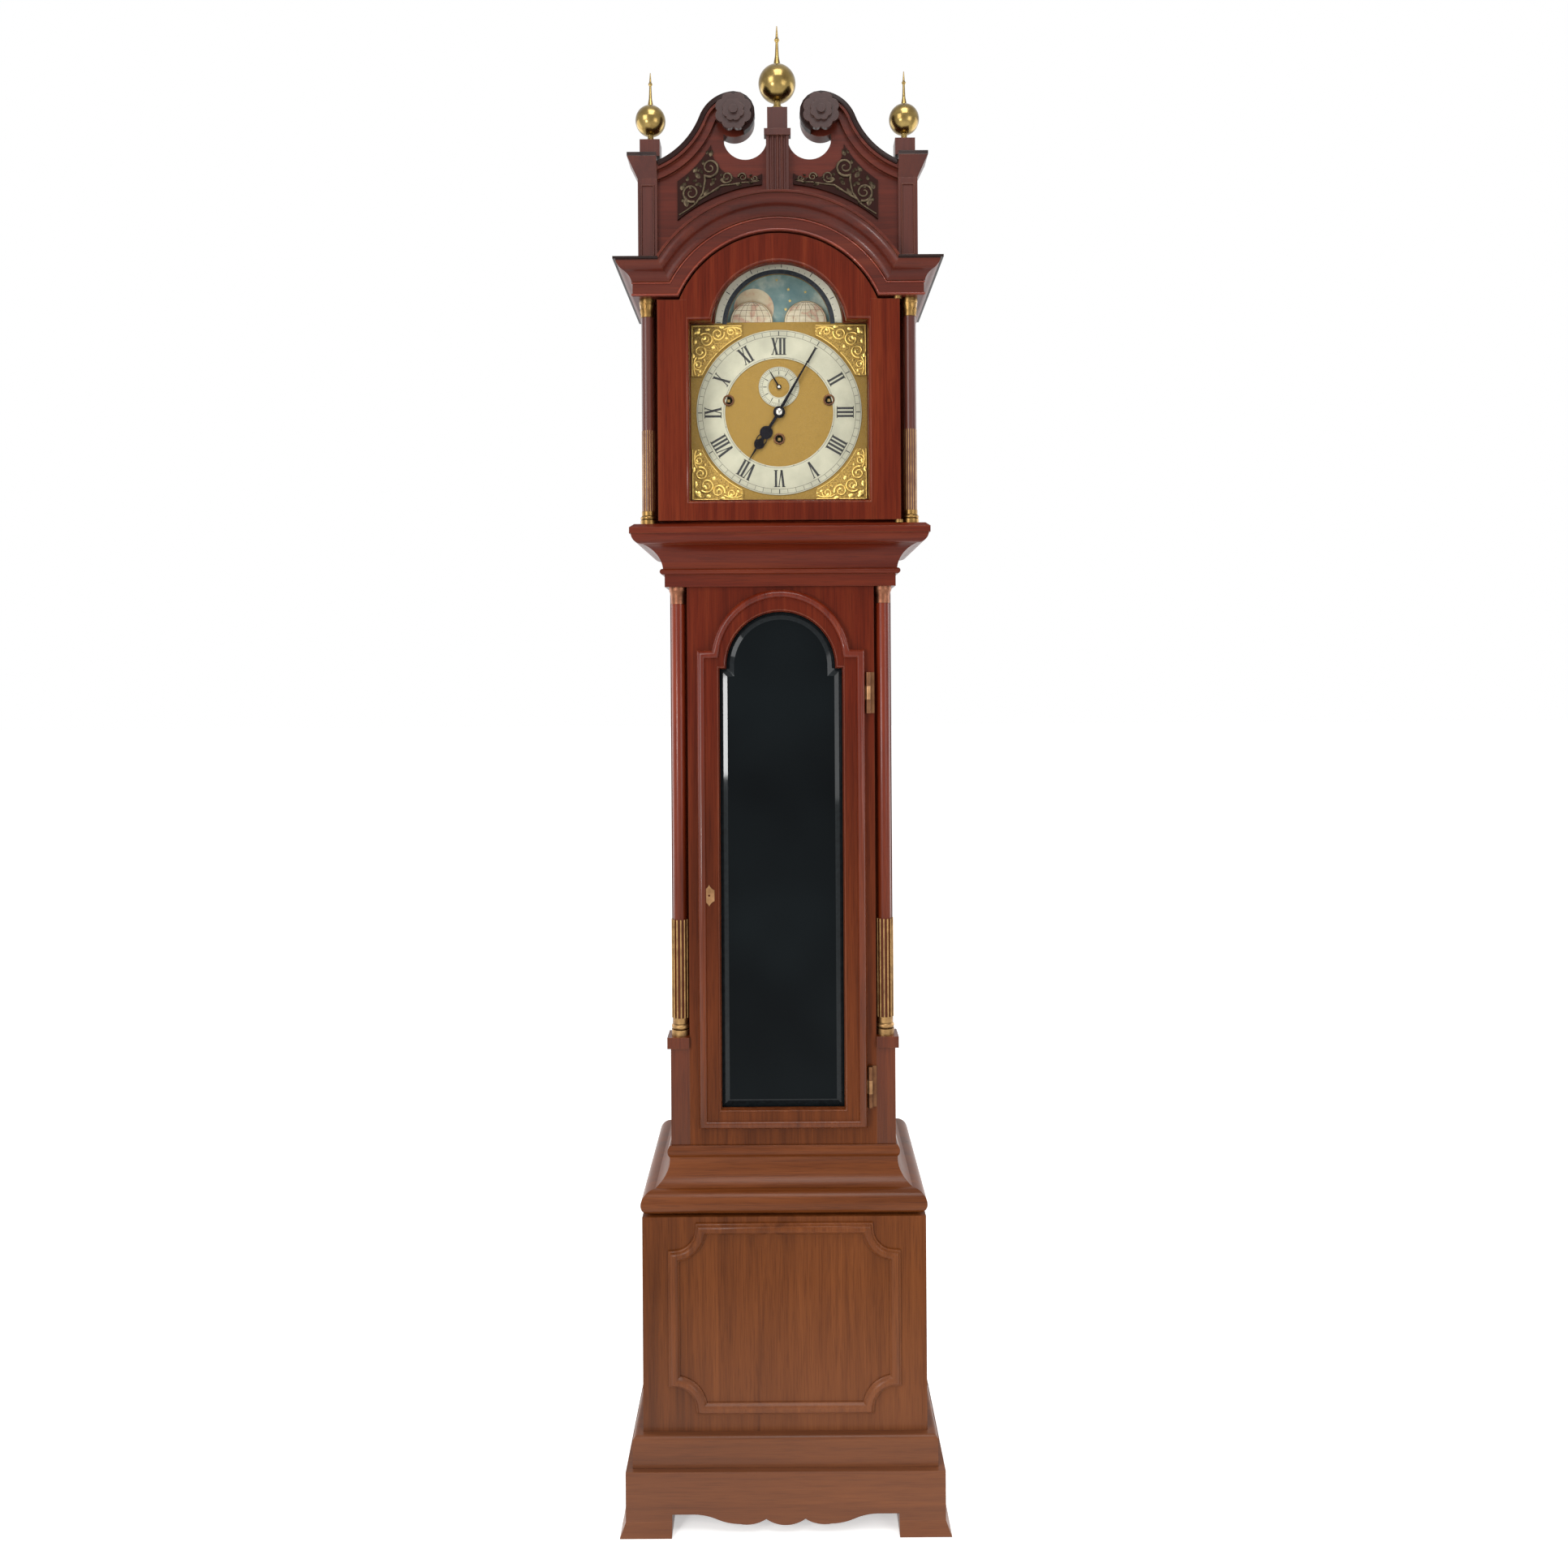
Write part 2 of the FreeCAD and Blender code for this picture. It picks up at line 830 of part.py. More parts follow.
# Cove moulding between base and trunk: torus, cove and bead.
fillet = d.moulding_fillet
torus_radius = (d.torus_top - d.base_top) / 2
node("base_cove_moulding", moulding("base_cove", d.trunk_half_width, d.trunk_front, [
    (0, d.base_top),
    *half_round(d.torus_reach - torus_radius, d.base_top, d.torus_top),
    (d.torus_reach - torus_radius - fillet, d.torus_top),
    Arc(d.cove_radius, -1),
    (fillet, d.cove_top),
    (fillet, d.cove_top + fillet / 2),
    Arc(d.bead_radius, 1),
    (fillet, d.bead_top),
    (0, d.bead_top),
]))

# Backboard: one broad board from the base to the top of the movement.
board_inner = d.trunk_half_width - d.board
backboard_top = d.dial_height + d.bell_rise
backboard = new_body("backboard")
pad(backboard, "XZ_Plane", forward(0), d.backboard_thickness, [[
    (-base_inner, d.apron_edge),
    (base_inner, d.apron_edge),
    (base_inner, d.base_top),
    (board_inner, d.base_top),
    (board_inner, backboard_top),
    (-board_inner, backboard_top),
    (-board_inner, d.base_top),
    (-base_inner, d.base_top),
]])
node("backboard", backboard)

# Floor of the base, which ties its boards together.
base_floor = box("base_floor", (-base_inner, base_inner),
                 (ahead(d.base_front - d.board), ahead(d.backboard_thickness)),
                 (d.apron_edge, d.apron_edge + d.board))
node("base_boards", group(base, base_floor, front_liner, *both(side_liner)))

# Trunk sides run up past the trunk as cheeks that carry the seatboard.
recess_front = d.trunk_front - d.column_recess
side_board = box("trunk_side", (board_inner, d.trunk_half_width), (ahead(recess_front), back),
                 (d.base_top, d.cheek_top))
node("trunk_sides", group(*both(side_board)))

# Corner posts: the stepped returns behind the quarter columns.
post = new_body("corner_post")
post_inner = d.frame_half_width - d.post_width
pad(post, "XY_Plane", d.base_top, d.frame_top - d.base_top, [[
    (post_inner, ahead(recess_front - d.post_width)),
    (post_inner, ahead(d.trunk_front - d.board)),
    (d.frame_half_width, ahead(d.trunk_front - d.board)),
    (d.frame_half_width, ahead(recess_front)),
    (board_inner, ahead(recess_front)),
    (board_inner, ahead(recess_front - d.post_width)),
]])

# Trunk front frame with its arched doorway.
opening_half = d.door_half_width - d.door_overlap
opening = arch_outline(opening_half, d.door_low + d.door_overlap, d.door_high - d.door_overlap,
                       d.door_arch_radius - d.door_overlap, d.door_shoulder - d.door_overlap)
frame = new_body("doorway_frame")
pad(frame, "XZ_Plane", forward(d.trunk_front - d.board), d.board, [
    rectangle(-d.frame_half_width, d.base_top, d.frame_half_width, d.frame_top),
    opening,
])
node("trunk_front_frame", group(frame, *both(post)))

# Corner blocks: square plinths under the quarter columns with a stepped cap, and blocks above.
block_x = (d.frame_half_width, d.trunk_half_width)
block_y = (ahead(d.trunk_front), ahead(recess_front))
cap_x = (d.frame_half_width, d.trunk_half_width + d.block_cap_reach)
cap_y = (ahead(d.trunk_front + d.block_cap_reach), ahead(recess_front))
low_block = box("low_block", block_x, block_y, (d.base_top, d.block_top))
high_block = box("high_block", block_x, block_y, (d.trunk_top, d.frame_top))
cap = new_body("block_cap")
pad(cap, "XY_Plane", d.block_top, d.block_cap_height, [rectangle(cap_x[0], cap_y[0], cap_x[1], cap_y[1])])

# Quarter columns: plain turned shafts in the corner recesses.
column_x = d.trunk_half_width - d.column_inset
column_y = ahead(d.trunk_front - d.column_inset)
column_low = d.block_top + d.block_cap_height
shaft_low = column_low + d.column_base_height
shaft_high = d.trunk_top - d.capital_height
shaft = rod("column_shaft", d.column_radius, shaft_high - shaft_low, column_x, column_y, shaft_low)
node("quarter_columns", group(*both(shaft), *both(low_block), *both(high_block), *both(cap)))


def order_outline(height, shaft_radius, collar_radius):
    """Half section of a turned base: square fillet, round ring and neck."""
    ring = height / 3
    return [
        (0, 0), (collar_radius, 0), (collar_radius, ring),
        *half_round(collar_radius - ring / 2, ring, ring * 2),
        (shaft_radius + ring / 8, ring * 2), (shaft_radius + ring / 8, height), (0, height),
    ]


# Brass bases, capitals and reeds of the quarter columns. The reeds stand round the outer face of
# the shaft, from the inner front to the rear.
REED_START = math.radians(-153)
REED_SWEEP = math.radians(216)
base_ring = turned("column_base", order_outline(d.column_base_height, d.column_radius, d.capital_radius),
                   column_x, column_y, column_low)
capital = turned("column_capital", [
    (0, shaft_high), (d.column_radius + fillet / 4, shaft_high),
    (d.column_radius + fillet / 4, shaft_high + d.capital_height / 3),
    Arc(d.capital_height, -1),
    (d.capital_radius, d.trunk_top - d.capital_height / 5),
    (d.capital_radius, d.trunk_top), (0, d.trunk_top)], column_x, column_y)
reed_set = new_body("column_reeds")
reed_path = d.column_radius + d.reed_radius
reed_step = REED_SWEEP / (d.reed_count.value - 1)
reed_circles = []
for index in range(int(d.reed_count.value)):
    angle = REED_START + reed_step * index
    reed_circles.append((column_x + reed_path * math.cos(angle), column_y + reed_path * math.sin(angle),
                         d.reed_radius))
pad(reed_set, "XY_Plane", shaft_low, d.reed_top - shaft_low, [], reed_circles)
node("column_brasses", group(*both(base_ring), *both(capital), *both(reed_set)))

# Throat moulding under the hood: step, bead and a deep cove.
throat_bead = d.trunk_top + d.throat_step
node("throat_moulding", moulding("throat", d.trunk_half_width, d.trunk_front, [
    (0, d.trunk_top),
    (fillet * 2, d.trunk_top),
    (fillet * 2, throat_bead - fillet),
    *half_round(fillet * 3, throat_bead - fillet, throat_bead + fillet * 3),
    Arc(d.cove_radius, -1),
    (d.throat_reach, d.throat_top),
    (0, d.throat_top),
]))


def half_chord(radius, rise):
    """Half the width of a circle at a height above its centre."""
    return root(radius * radius - rise * rise)


# Hood foot moulding: slides on the throat moulding and carries the hood.
foot_half_width = d.trunk_half_width + d.slide_clearance
foot_front = d.trunk_front + d.slide_clearance
foot_band_low = d.throat_top + d.hood_foot_ovolo
foot_start = d.throat_reach - d.slide_clearance
node("hood_foot_moulding", moulding("hood_foot", foot_half_width, foot_front, [
    (0, d.throat_top),
    (foot_start, d.throat_top),
    Arc(d.hood_foot_ovolo, 1),
    (d.hood_foot_reach - fillet, foot_band_low),
    (d.hood_foot_reach, foot_band_low),
    (d.hood_foot_reach, foot_band_low + d.hood_foot_band),
    (d.hood_foot_reach - fillet * 3, d.hood_foot_top),
    (0, d.hood_foot_top),
]))

# Hood carcase: side boards and a break-arch vault, open at front and back.
hood_inner = d.hood_half_width - d.board
vault_rise = d.frieze_top - d.arch_height
vault_inner_top = d.frieze_top - d.vault_board
vault_inner_radius = d.vault_radius - d.vault_board
vault_reach = half_chord(d.vault_radius, vault_rise)
vault_inner_reach = half_chord(vault_inner_radius, vault_inner_top - d.arch_height)
carcase = new_body("hood_carcase")
pad(carcase, "XZ_Plane", forward(0), d.hood_front, [[
    (-d.hood_half_width, d.hood_foot_top),
    (-d.hood_half_width, d.frieze_top),
    (-vault_reach, d.frieze_top),
    Arc(d.vault_radius, -1),
    (vault_reach, d.frieze_top),
    (d.hood_half_width, d.frieze_top),
    (d.hood_half_width, d.hood_foot_top),
    (hood_inner, d.hood_foot_top),
    (hood_inner, vault_inner_top),
    (vault_inner_reach, vault_inner_top),
    Arc(vault_inner_radius, 1),
    (-vault_inner_reach, vault_inner_top),
    (-hood_inner, vault_inner_top),
    (-hood_inner, d.hood_foot_top),
]])
node("hood_carcase", carcase)

# Mask: the board in front of the dial, with an opening a little smaller than the dial.
mask = new_body("hood_mask")
pad(mask, "XZ_Plane", forward(d.mask_back), d.mask_thickness, [
    [
        (-hood_inner, d.hood_foot_top),
        (hood_inner, d.hood_foot_top),
        (hood_inner, vault_inner_top),
        (vault_inner_reach, vault_inner_top),
        Arc(vault_inner_radius, 1),
        (-vault_inner_reach, vault_inner_top),
        (-hood_inner, vault_inner_top),
    ],
    arch_outline(d.dial_half_width - d.mask_overlap, d.dial_height - d.dial_half_width + d.mask_overlap,
                 d.dial_arch_height + d.dial_arch_radius - d.mask_overlap,
                 d.dial_arch_radius - d.mask_overlap, d.dial_height + d.dial_half_width - d.mask_overlap),
])
node("hood_mask", mask)


def cornice_profile(across, up, turn):
    """Frieze and cyma cornice, drawn through two mappings so that it also fits the arch."""
    mid_reach = (d.frieze_reach + d.cornice_reach) / 2
    low = d.frieze_top + d.cornice_fillet / 2
    high = d.cornice_top - d.cornice_fillet
    middle = (low + high) / 2
    points = [
        (0, d.frieze_low), (d.frieze_reach, d.frieze_low), (d.frieze_reach, d.frieze_top),
        (d.frieze_reach + d.cornice_fillet / 2, d.frieze_top), (d.frieze_reach + d.cornice_fillet / 2, low),
        Arc(d.cyma_radius, -turn), (mid_reach, middle),
        Arc(d.cyma_radius, turn), (d.cornice_reach - d.cornice_fillet, high),
        (d.cornice_reach, high), (d.cornice_reach, d.cornice_top), (0, d.cornice_top),
    ]
    return [item if isinstance(item, Arc) else (across(item[0]), up(item[1])) for item in points]


# Cornice: runs round the hood and breaks up over the arch, mitred on a sloping line.
straight = moulding("cornice_run", d.hood_half_width, d.tympanum_front,
                    cornice_profile(lambda reach: reach, lambda level: level, 1))
arch = new_body("cornice_arch")
arch_sketch = body_sketch(arch, "YZ_Plane")
draw(arch_sketch, cornice_profile(lambda reach: ahead(d.tympanum_front + reach),
                                  lambda level: d.arch_inner_radius + level - d.frieze_low, -1))
arch_spin = arch.newObject("PartDesign::Revolution", "cornice_arch_turning")
arch_spin.Profile = arch_sketch
arch_spin.ReferenceAxis = (arch_sketch, ["H_Axis"])
arch_spin.Angle = 360
place(arch, 0, 0, d.arch_height)
mitre_in = half_chord(d.arch_inner_radius, d.frieze_low - d.arch_height)
mitre_out = half_chord(d.arch_inner_radius + d.cornice_top - d.frieze_low, d.cornice_top - d.arch_height)
wedge = new_body("cornice_mitre")
pad(wedge, "XZ_Plane", forward(d.tympanum_front), 2 * d.cornice_reach, [[
    (-mitre_in, d.frieze_low), (mitre_in, d.frieze_low), (mitre_out, d.cornice_top),
    (mitre_out, d.cap_top), (-mitre_out, d.cap_top), (-mitre_out, d.cornice_top),
]])
node("cornice", group(cut(straight, wedge), common(arch, wedge)))


# Angle past the lowest point of the scroll where the edge turns into the open void.
SCROLL_TAIL = math.radians(30)


def scroll_half(side):
    """Outline of the pediment board from pedestal to pilaster; side is -1 on the left."""
    return [
        (side * pedestal_inner, d.scroll_foot),
        Arc(d.neck_low_radius, -side),
        (side * d.neck_offset, d.neck_height),
        Arc(d.neck_high_radius, side),
        (side * d.rosette_offset, d.rosette_height + d.scroll_radius),
        Arc(d.scroll_radius, side),
        (side * (d.rosette_offset - d.scroll_radius), d.rosette_height),
        Arc(d.scroll_radius, side),
        (side * d.rosette_offset, d.rosette_height - d.scroll_radius),
        Arc(d.scroll_radius, side),
        (side * (d.rosette_offset + d.scroll_radius * math.sin(SCROLL_TAIL)),
         d.rosette_height - d.scroll_radius * math.cos(SCROLL_TAIL)),
        Arc(d.void_radius, -side),
        (side * d.void_offset, d.void_low),
        Arc(d.void_radius, -side),
        (side * d.pilaster_half_width, d.void_side),
        (side * d.centre_block_half_width, d.void_side),
        (side * d.centre_block_half_width, d.collar_top),
    ]


def other_way(outline):
    """The mirror image of a half outline, drawn back from its end to its start."""
    return [Arc(item.radius, item.turn) if isinstance(item, Arc) else (-1 * item[0], item[1])
            for item in reversed(outline)]


# Tympanum: the pediment board cut to a swan neck, with the arch opening below.
pedestal_inner = d.pedestal_outer - d.pedestal_width
left_half = scroll_half(-1)
tympanum = new_body("pediment_board")
pad(tympanum, "XZ_Plane", forward(d.hood_front), d.tympanum_front - d.hood_front, [[
    (-mitre_in, d.frieze_low),
    (-d.hood_half_width, d.frieze_low),
    (-d.hood_half_width, d.pedestal_top),
    (-pedestal_inner, d.pedestal_top),
    *left_half,
    *other_way(left_half),
    (pedestal_inner, d.pedestal_top),
    (d.hood_half_width, d.pedestal_top),
    (d.hood_half_width, d.frieze_low),
    (mitre_in, d.frieze_low),
    Arc(d.arch_inner_radius, 1),
]])

# Swan-neck mouldings: a band in two steps along the rising edge, which leans by NECK_SLOPE where
# its hollow meets its round, and widens a little at the foot.
NECK_SLOPE = math.radians(66)
NECK_FOOT_RATIO = 1.1
neck = new_body("swan_neck")


def neck_band(width):
    return [
        (-pedestal_inner, d.scroll_foot),
        Arc(d.neck_low_radius, 1),
        (-d.neck_offset, d.neck_height),
        Arc(d.neck_high_radius, -1),
        (-d.rosette_offset, d.rosette_height + d.scroll_radius),
        (-d.rosette_offset, d.rosette_height + d.scroll_radius - width),
        Arc(d.neck_high_radius - width, 1),
        (-d.neck_offset + width * math.sin(NECK_SLOPE), d.neck_height - width * math.cos(NECK_SLOPE)),
        Arc(d.neck_low_radius + width, -1),
        (-pedestal_inner, d.scroll_foot - width * NECK_FOOT_RATIO),
    ]


for width, proud in ((d.scroll_band, d.scroll_proud / 2), (d.scroll_band / 2, d.scroll_proud)):
    pad(neck, "XZ_Plane", forward(d.tympanum_front), proud, [neck_band(width)])
node("tympanum", group(tympanum, *both(neck)))


def petal_outline(radius, count):
    """A flower outline: one bulging arc for each petal, a little flatter than a half circle."""
    notch = radius * math.cos(math.pi / count)
    petal = radius * math.sin(math.pi / count) * PETAL_RATIO
    outline = []
    for index in range(count):
        angle = 2 * math.pi * index / count
        outline.append((notch * math.cos(angle), notch * math.sin(angle)))
        outline.append(Arc(petal, 1))
    return outline


# Rosettes: carved flowers in two rows of petals, with a round eye, at the ends of the scrolls.
PETAL_RATIO = 1.05
INNER_PETAL_RATIO = 0.6
rosette = new_body("rosette")
petals = int(d.rosette_petals.value)
for radius, depth in ((d.rosette_radius, d.rosette_depth / 2),
                      (d.rosette_radius * INNER_PETAL_RATIO, d.rosette_depth * 3 / 4)):
    pad(rosette, "XZ_Plane", 0, depth, [petal_outline(radius, petals)])
pad(rosette, "XZ_Plane", 0, d.rosette_depth, [], [(0, 0, d.rosette_radius / 4)])
pad(rosette, "XZ_Plane", -d.scroll_proud, d.scroll_proud, [], [(0, 0, d.rosette_spigot)])
place(rosette, -d.rosette_offset, ahead(d.tympanum_front + d.scroll_proud), d.rosette_height)
node("rosettes", group(*both(rosette)))

# Fret panels: thin pierced-pattern grounds set on the pediment under the swan neck.
fret = new_body("fret_panel")
fret_arch_radius = d.arch_inner_radius + d.cornice_top - d.frieze_low + d.fret_gap
fret_low = half_chord(fret_arch_radius, d.fret_left)
fret_high = half_chord(fret_arch_radius, d.fret_right)
pad(fret, "XZ_Plane", forward(d.tympanum_front), d.fret_depth, [[
    (-d.fret_left, d.arch_height + fret_low),
    (-d.fret_left, d.fret_shoulder),
    Arc(d.neck_low_radius + d.scroll_band * 1.5, 1),
    (-d.fret_peak_offset, d.fret_peak),
    Arc(d.fret_void_radius, 1),
    (-d.fret_right, d.fret_toe),
    (-d.fret_right, d.arch_height + fret_high),
    Arc(fret_arch_radius, 1),
]])
node("fret_panels", group(*both(fret)))

# Pediment pedestals with flared caps and square finial blocks.
pedestal_front = d.tympanum_front + d.pedestal_proud
pedestal_x = (pedestal_inner, d.pedestal_outer)
pedestal = box("pedestal", pedestal_x, (ahead(pedestal_front), ahead(d.tympanum_front)),
               (d.cornice_top, d.pedestal_top))
cap_flare = doc.addObject("Part::Wedge", "pedestal_cap")
cap_low = d.cap_top - d.cap_fillet
for prop, wanted in {
    "Xmin": pedestal_inner, "Xmax": d.pedestal_outer,
    "X2min": pedestal_inner, "X2max": d.pedestal_outer + d.cap_reach,
    "Ymin": d.pedestal_top, "Ymax": cap_low,
    "Zmin": -ahead(d.hood_front), "Zmax": -ahead(pedestal_front),
    "Z2min": -ahead(d.hood_front), "Z2max": -ahead(pedestal_front + d.cap_reach),
}.items():
    bind(cap_flare, prop, wanted)
cap_flare.Placement.Rotation = FreeCAD.Rotation(FreeCAD.Vector(1, 0, 0), 90)
cap_plate = box("cap_plate", (pedestal_inner, d.pedestal_outer + d.cap_reach),
                (ahead(pedestal_front + d.cap_reach), ahead(d.hood_front)), (cap_low, d.cap_top))
finial_y = ahead((d.hood_front + pedestal_front) / 2)
half_block = d.finial_block_width / 2
finial_block = box("finial_block", (d.finial_offset - half_block, d.finial_offset + half_block),
                   (finial_y - half_block, finial_y + half_block), (d.cap_top, d.finial_block_top))

# Centre pilaster: a fluted strip on the pediment, with a collar and a block for the middle finial.
pilaster = new_body("pilaster")
pilaster_front = ahead(d.tympanum_front + d.pilaster_proud)
flutes = int(d.flute_count.value)
flute_pitch = 2 * d.pilaster_half_width / (flutes + 1)
pilaster_edge = [
    (d.pilaster_half_width, ahead(d.tympanum_front)),
    (-d.pilaster_half_width, ahead(d.tympanum_front)),
    (-d.pilaster_half_width, pilaster_front),
]
for index in range(1, flutes + 1):
    middle = flute_pitch * index - d.pilaster_half_width
    pilaster_edge += [
        (middle - d.flute_radius, pilaster_front), Arc(d.flute_radius, -1),
        (middle, pilaster_front + d.flute_radius), Arc(d.flute_radius, -1),
        (middle + d.flute_radius, pilaster_front),
    ]
pilaster_edge.append((d.pilaster_half_width, pilaster_front))
pad(pilaster, "XY_Plane", d.pilaster_low, d.pilaster_top - d.pilaster_low, [pilaster_edge])
collar_y = (ahead(d.tympanum_front + d.pilaster_proud + fillet), ahead(d.tympanum_front))
collar = box("pilaster_collar", (-d.collar_half_width, d.collar_half_width), collar_y,
             (d.pilaster_top, d.collar_top))
block_front = d.hood_front + 2 * d.centre_block_half_width
centre_block = box("centre_block", (-d.centre_block_half_width, d.centre_block_half_width),
                   (ahead(block_front), ahead(d.hood_front)), (d.collar_top, d.centre_block_top))
node("pediment_pedestals", group(*both(pedestal), *both(cap_flare), *both(cap_plate), *both(finial_block),
                                 pilaster, collar, centre_block))


def finial_outline(ball, height):
    """Half section of a finial: neck, ball and a slender spire with a knop."""
    neck_radius = ball / 5
    neck_height = ball / 2
    centre = neck_height + half_chord(ball, neck_radius)
    low_spire = centre + half_chord(ball, neck_radius)
    knop = height - ball * 3 / 4
    knop_radius = ball / 7
    spire = ball / 14
    return [
        (0, 0), (neck_radius * 2, 0), (neck_radius * 2, neck_height / 4), (neck_radius, neck_height / 2),
        (neck_radius, neck_height), Arc(ball, 1), (ball, centre), Arc(ball, 1), (neck_radius, low_spire),
        (spire * 1.5, low_spire + neck_height), (spire, knop - knop_radius), (knop_radius, knop),
        (spire, knop + knop_radius), (spire / 3, height), (0, height),
    ]


# Finials: gilt balls with spires on the pedestals and on the centre block.
side_finial = turned("side_finial", finial_outline(d.side_ball_radius, d.side_finial_height),
                     d.finial_offset, finial_y, d.finial_block_top)
centre_finial = turned("centre_finial", finial_outline(d.ball_radius, d.finial_height),
                       0, ahead(d.hood_front + d.centre_block_half_width), d.centre_block_top)
node("finials", group(*both(side_finial), centre_finial))

# Hood pillars: free-standing shafts with brass bases and capitals.
pillar_y = ahead(d.pillar_front)
pillar_low = d.hood_foot_top + d.pillar_base_height
pillar_high = d.frieze_low - d.pillar_capital_height
pillar = rod("pillar", d.pillar_radius, pillar_high - pillar_low, d.pillar_offset, pillar_y, pillar_low)
node("hood_pillars", group(*both(pillar)))
pillar_base = turned("pillar_base",
                     order_outline(d.pillar_base_height, d.pillar_radius, d.pillar_collar_radius),
                     d.pillar_offset, pillar_y, d.hood_foot_top)
pillar_capital = turned("pillar_capital", [
    (0, pillar_high), (d.pillar_radius + fillet / 4, pillar_high),
    (d.pillar_radius + fillet / 4, pillar_high + d.pillar_capital_height / 3),
    Arc(d.pillar_capital_height, -1),
    (d.pillar_collar_radius, d.frieze_low - d.pillar_capital_height / 5),
    (d.pillar_collar_radius, d.frieze_low), (0, d.frieze_low)], d.pillar_offset, pillar_y)
node("pillar_brasses", group(*both(pillar_base), *both(pillar_capital)))


# Hood door: a break-arch frame of stiles, rail and head that swings on pivots at its right edge.
hood_door_low = d.hood_foot_top + d.hood_door_gap
hood_door_shoulder = d.frieze_low - d.hood_door_gap
hood_door_radius = d.arch_inner_radius - d.hood_door_arch_gap
hood_door_high = d.arch_height + hood_door_radius
sight = (d.sight_half_width, d.sight_low, d.sight_high, d.sight_arch_radius, d.sight_shoulder)


def grown(outline_sizes, margin):
    """The sizes of an arch outline moved outward on every side."""
    half_width, low, high, radius, shoulder = outline_sizes
    return (half_width + margin, low - margin, high + margin, radius + margin, shoulder + margin)


def door_members(label, layers):
    """Right stile, bottom rail and arched head of a door, each built up in layers.

    A layer gives its back, its front and the arch sizes of its outer and inner edges.
    """
    stile = new_body(label + "_stile")
    rail = new_body(label + "_rail")
    head = new_body(label + "_head")
    for start, end, outer, inner in layers:
        half, low, high, radius, shoulder = outer
        sight_half, sight_low, sight_high, sight_radius, sight_shoulder = inner
        reach = arch_reach(radius, high, shoulder)
        sight_reach = arch_reach(sight_radius, sight_high, sight_shoulder)
        outlines = {
            stile: rectangle(sight_half, low, half, shoulder),
            rail: rectangle(-sight_half, low, sight_half, sight_low),
            head: [
                (-sight_half, sight_shoulder), (-sight_reach, sight_shoulder), Arc(sight_radius, -1),
                (0, sight_high), Arc(sight_radius, -1), (sight_reach, sight_shoulder),
                (sight_half, sight_shoulder), (sight_half, shoulder), (reach, shoulder), Arc(radius, 1),
                (0, high), Arc(radius, 1), (-reach, shoulder), (-sight_half, shoulder),
            ],
        }
        for member, outline in outlines.items():
            pad(member, "XZ_Plane", forward(start), end - start, [outline])
    return stile, rail, head


pivot_x = d.hood_door_half_width - d.pivot_inset
pivot_y = ahead(d.pivot_front)
hood_door_outer = (d.hood_door_half_width, hood_door_low, hood_door_high, hood_door_radius,
                   hood_door_shoulder)
pane_front = d.hood_door_back + d.pane_thickness
bead_back = d.hood_door_back + d.hood_door_thickness - d.sight_bead_depth
stile, rail, head = door_members("hood_door", [
    (d.hood_door_back, pane_front, hood_door_outer, grown(sight, d.pane_rebate + d.glass_clearance)),
    (pane_front, bead_back, hood_door_outer, sight),
    (bead_back, bead_back + d.sight_bead_depth, hood_door_outer, grown(sight, d.sight_bead)),
])
hole_radius = d.pivot_radius + d.running_clearance
pivot_holes = [rod("pivot_hole", hole_radius, d.pivot_depth, pivot_x, pivot_y, level)
               for level in (hood_door_low, hood_door_shoulder - d.pivot_depth)]
node("hood_door_frame", group(cut(stile, fused(*pivot_holes)), mirrored(stile), rail, head))

# Hood door pane, let into the back of the frame.
pane = new_body("hood_door_glass")
pad(pane, "XZ_Plane", forward(d.hood_door_back), d.pane_thickness,
    [arch_outline(*grown(sight, d.pane_rebate))])
node("hood_door_glass", pane)

# Hood door pivots: brass pins with a shoulder, one on the foot moulding and one under the frieze.
pin_height = d.hood_door_gap + d.pivot_depth - d.side_clearance
pivot_outline = [
    (0, 0), (d.pivot_washer, 0), (d.pivot_washer, d.hood_door_gap), (d.pivot_radius, d.hood_door_gap),
    (d.pivot_radius, pin_height), (0, pin_height),
]
low_pivot = turned("low_pivot", pivot_outline, pivot_x, pivot_y, d.hood_foot_top)
high_pivot = turned("high_pivot", pivot_outline, pivot_x, pivot_y, d.frieze_low)
high_pivot.Placement.Rotation = FreeCAD.Rotation(FreeCAD.Vector(1, 0, 0), 180)
node("hood_door_pivots", group(low_pivot, high_pivot))

# Trunk door: a lipped frame whose tongue enters the doorway, with stepped edges round an arched glass.
door_sizes = (d.door_half_width, d.door_low, d.door_high, d.door_arch_radius, d.door_shoulder)
glass_sizes = (d.glass_half_width, d.glass_low, d.glass_high, d.glass_arch_radius, d.glass_shoulder)
lip_step = d.trunk_front + d.door_lip / 2
stile, rail, head = door_members("trunk_door", [
    (d.trunk_front - d.door_tongue, d.trunk_front, grown(door_sizes, -(d.door_overlap + d.slide_clearance)),
     grown(glass_sizes, d.glass_rebate + d.glass_clearance)),
    (d.trunk_front, lip_step, door_sizes, glass_sizes),
    (lip_step, d.trunk_front + d.door_lip, grown(door_sizes, -d.door_bead),
     grown(glass_sizes, d.door_bead)),
])
node("trunk_door_frame", group(*both(stile), rail, head))

# Trunk door glass: a bevelled plate held against the back of the lip.
glass = new_body("trunk_door_glass")
pad(glass, "XZ_Plane", forward(d.trunk_front - d.glass_thickness), d.glass_thickness,
    [arch_outline(*grown(glass_sizes, d.glass_rebate))])
node("trunk_door_glass", glass)

